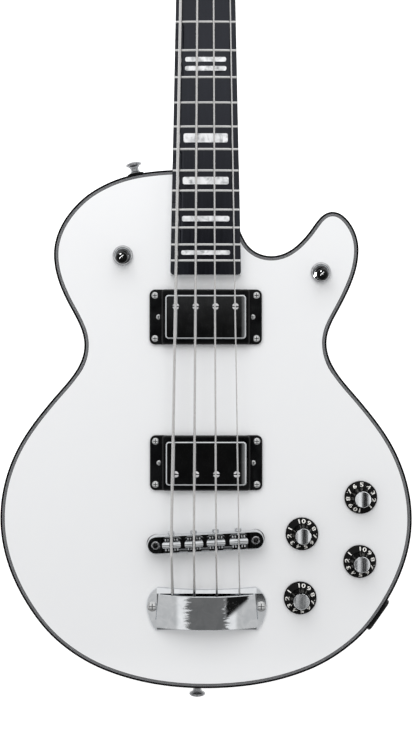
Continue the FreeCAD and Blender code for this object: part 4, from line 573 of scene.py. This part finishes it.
bpy.context.scene.world = world
world.use_nodes = True
tree = world.node_tree
backdrop = tree.nodes["Background"].inputs
backdrop["Color"].default_value = (1, 1, 1, 1)
way = addNode(tree, "ShaderNodeTexCoord").outputs["Generated"]
lean = addNode(tree, "ShaderNodeSeparateXYZ", links={"Vector": way}).outputs
turn = addNode(tree, "ShaderNodeMath", links={0: lean["X"], 1: lean["Z"]}, operation="ARCTAN2").outputs["Value"]
roll = addNode(tree, "ShaderNodeMath", links={0: turn}, operation="DEGREES").outputs["Value"]
shake = addNode(tree, "ShaderNodeTexNoise", {"Scale": room["raggedScale"], "Detail": 1.0}, {"W": lean["Y"]},
                noise_dimensions="1D").outputs["Fac"]
shake = addNode(tree, "ShaderNodeMath", {1: 0.5}, {0: shake}, operation="SUBTRACT").outputs["Value"]  # about zero
ends = addNode(tree, "ShaderNodeValue")
ends.outputs["Value"].default_value = room["foot"]
brightness = ends.outputs["Value"]
for zone in zones:
    torn = addNode(tree, "ShaderNodeMath", {1: zone.get("ragged", 0.0)}, {0: shake, 2: roll},
                   operation="MULTIPLY_ADD").outputs["Value"]
    sheared = addNode(tree, "ShaderNodeMath", {1: zone.get("shear", 0.0)}, {0: roll, 2: lean["Y"]},
                      operation="MULTIPLY_ADD").outputs["Value"]
    mask = None
    for source, (rise, fall) in ((torn, zone["roll"]), (sheared, zone["lean"])):
        for edge in (rise, fall[::-1]):
            step = addNode(tree, "ShaderNodeMapRange", {"From Min": edge[0], "From Max": edge[1]},
                           {"Value": source}, interpolation_type="SMOOTHSTEP").outputs["Result"]
            if mask:
                step = addNode(tree, "ShaderNodeMath", links={0: mask, 1: step},
                               operation="MULTIPLY").outputs["Value"]
            mask = step
    brightness = addNode(tree, "ShaderNodeMix", {"B": zone["level"]},
                         {"Factor": mask, "A": brightness}).outputs["Result"]
low, high = room["horizonEdge"]
above = addNode(tree, "ShaderNodeMapRange", {"From Min": low, "From Max": high}, {"Value": lean["Z"]},
                interpolation_type="SMOOTHSTEP").outputs["Result"]
brightness = addNode(tree, "ShaderNodeMix", {"A": room["horizon"]},
                     {"Factor": above, "B": brightness}).outputs["Result"]
rays = addNode(tree, "ShaderNodeLightPath")
addNode(tree, "ShaderNodeMix", {"B": 1.0}, {"Factor": rays.outputs["Is Camera Ray"], "A": brightness},
        into=[backdrop["Strength"]])
print("studio: floor, softbox, glints and room")

# straight above the body, as the photograph looks
shot = {"place": (2.0 * mm, 163.6 * mm, 1108 * mm), "lens": 59.3, "shiftY": -0.040}
cameraData = bpy.data.cameras.new("overhead_camera")
cameraData.lens = shot["lens"]
cameraData.sensor_width = 36.0
cameraData.shift_y = shot["shiftY"]
cameraData.clip_start = 0.01
camera = addObject("overhead_camera", cameraData)
camera.location = shot["place"]
bpy.context.scene.camera = camera
bpy.context.scene.view_settings.view_transform = "Standard"
print("camera: overhead")
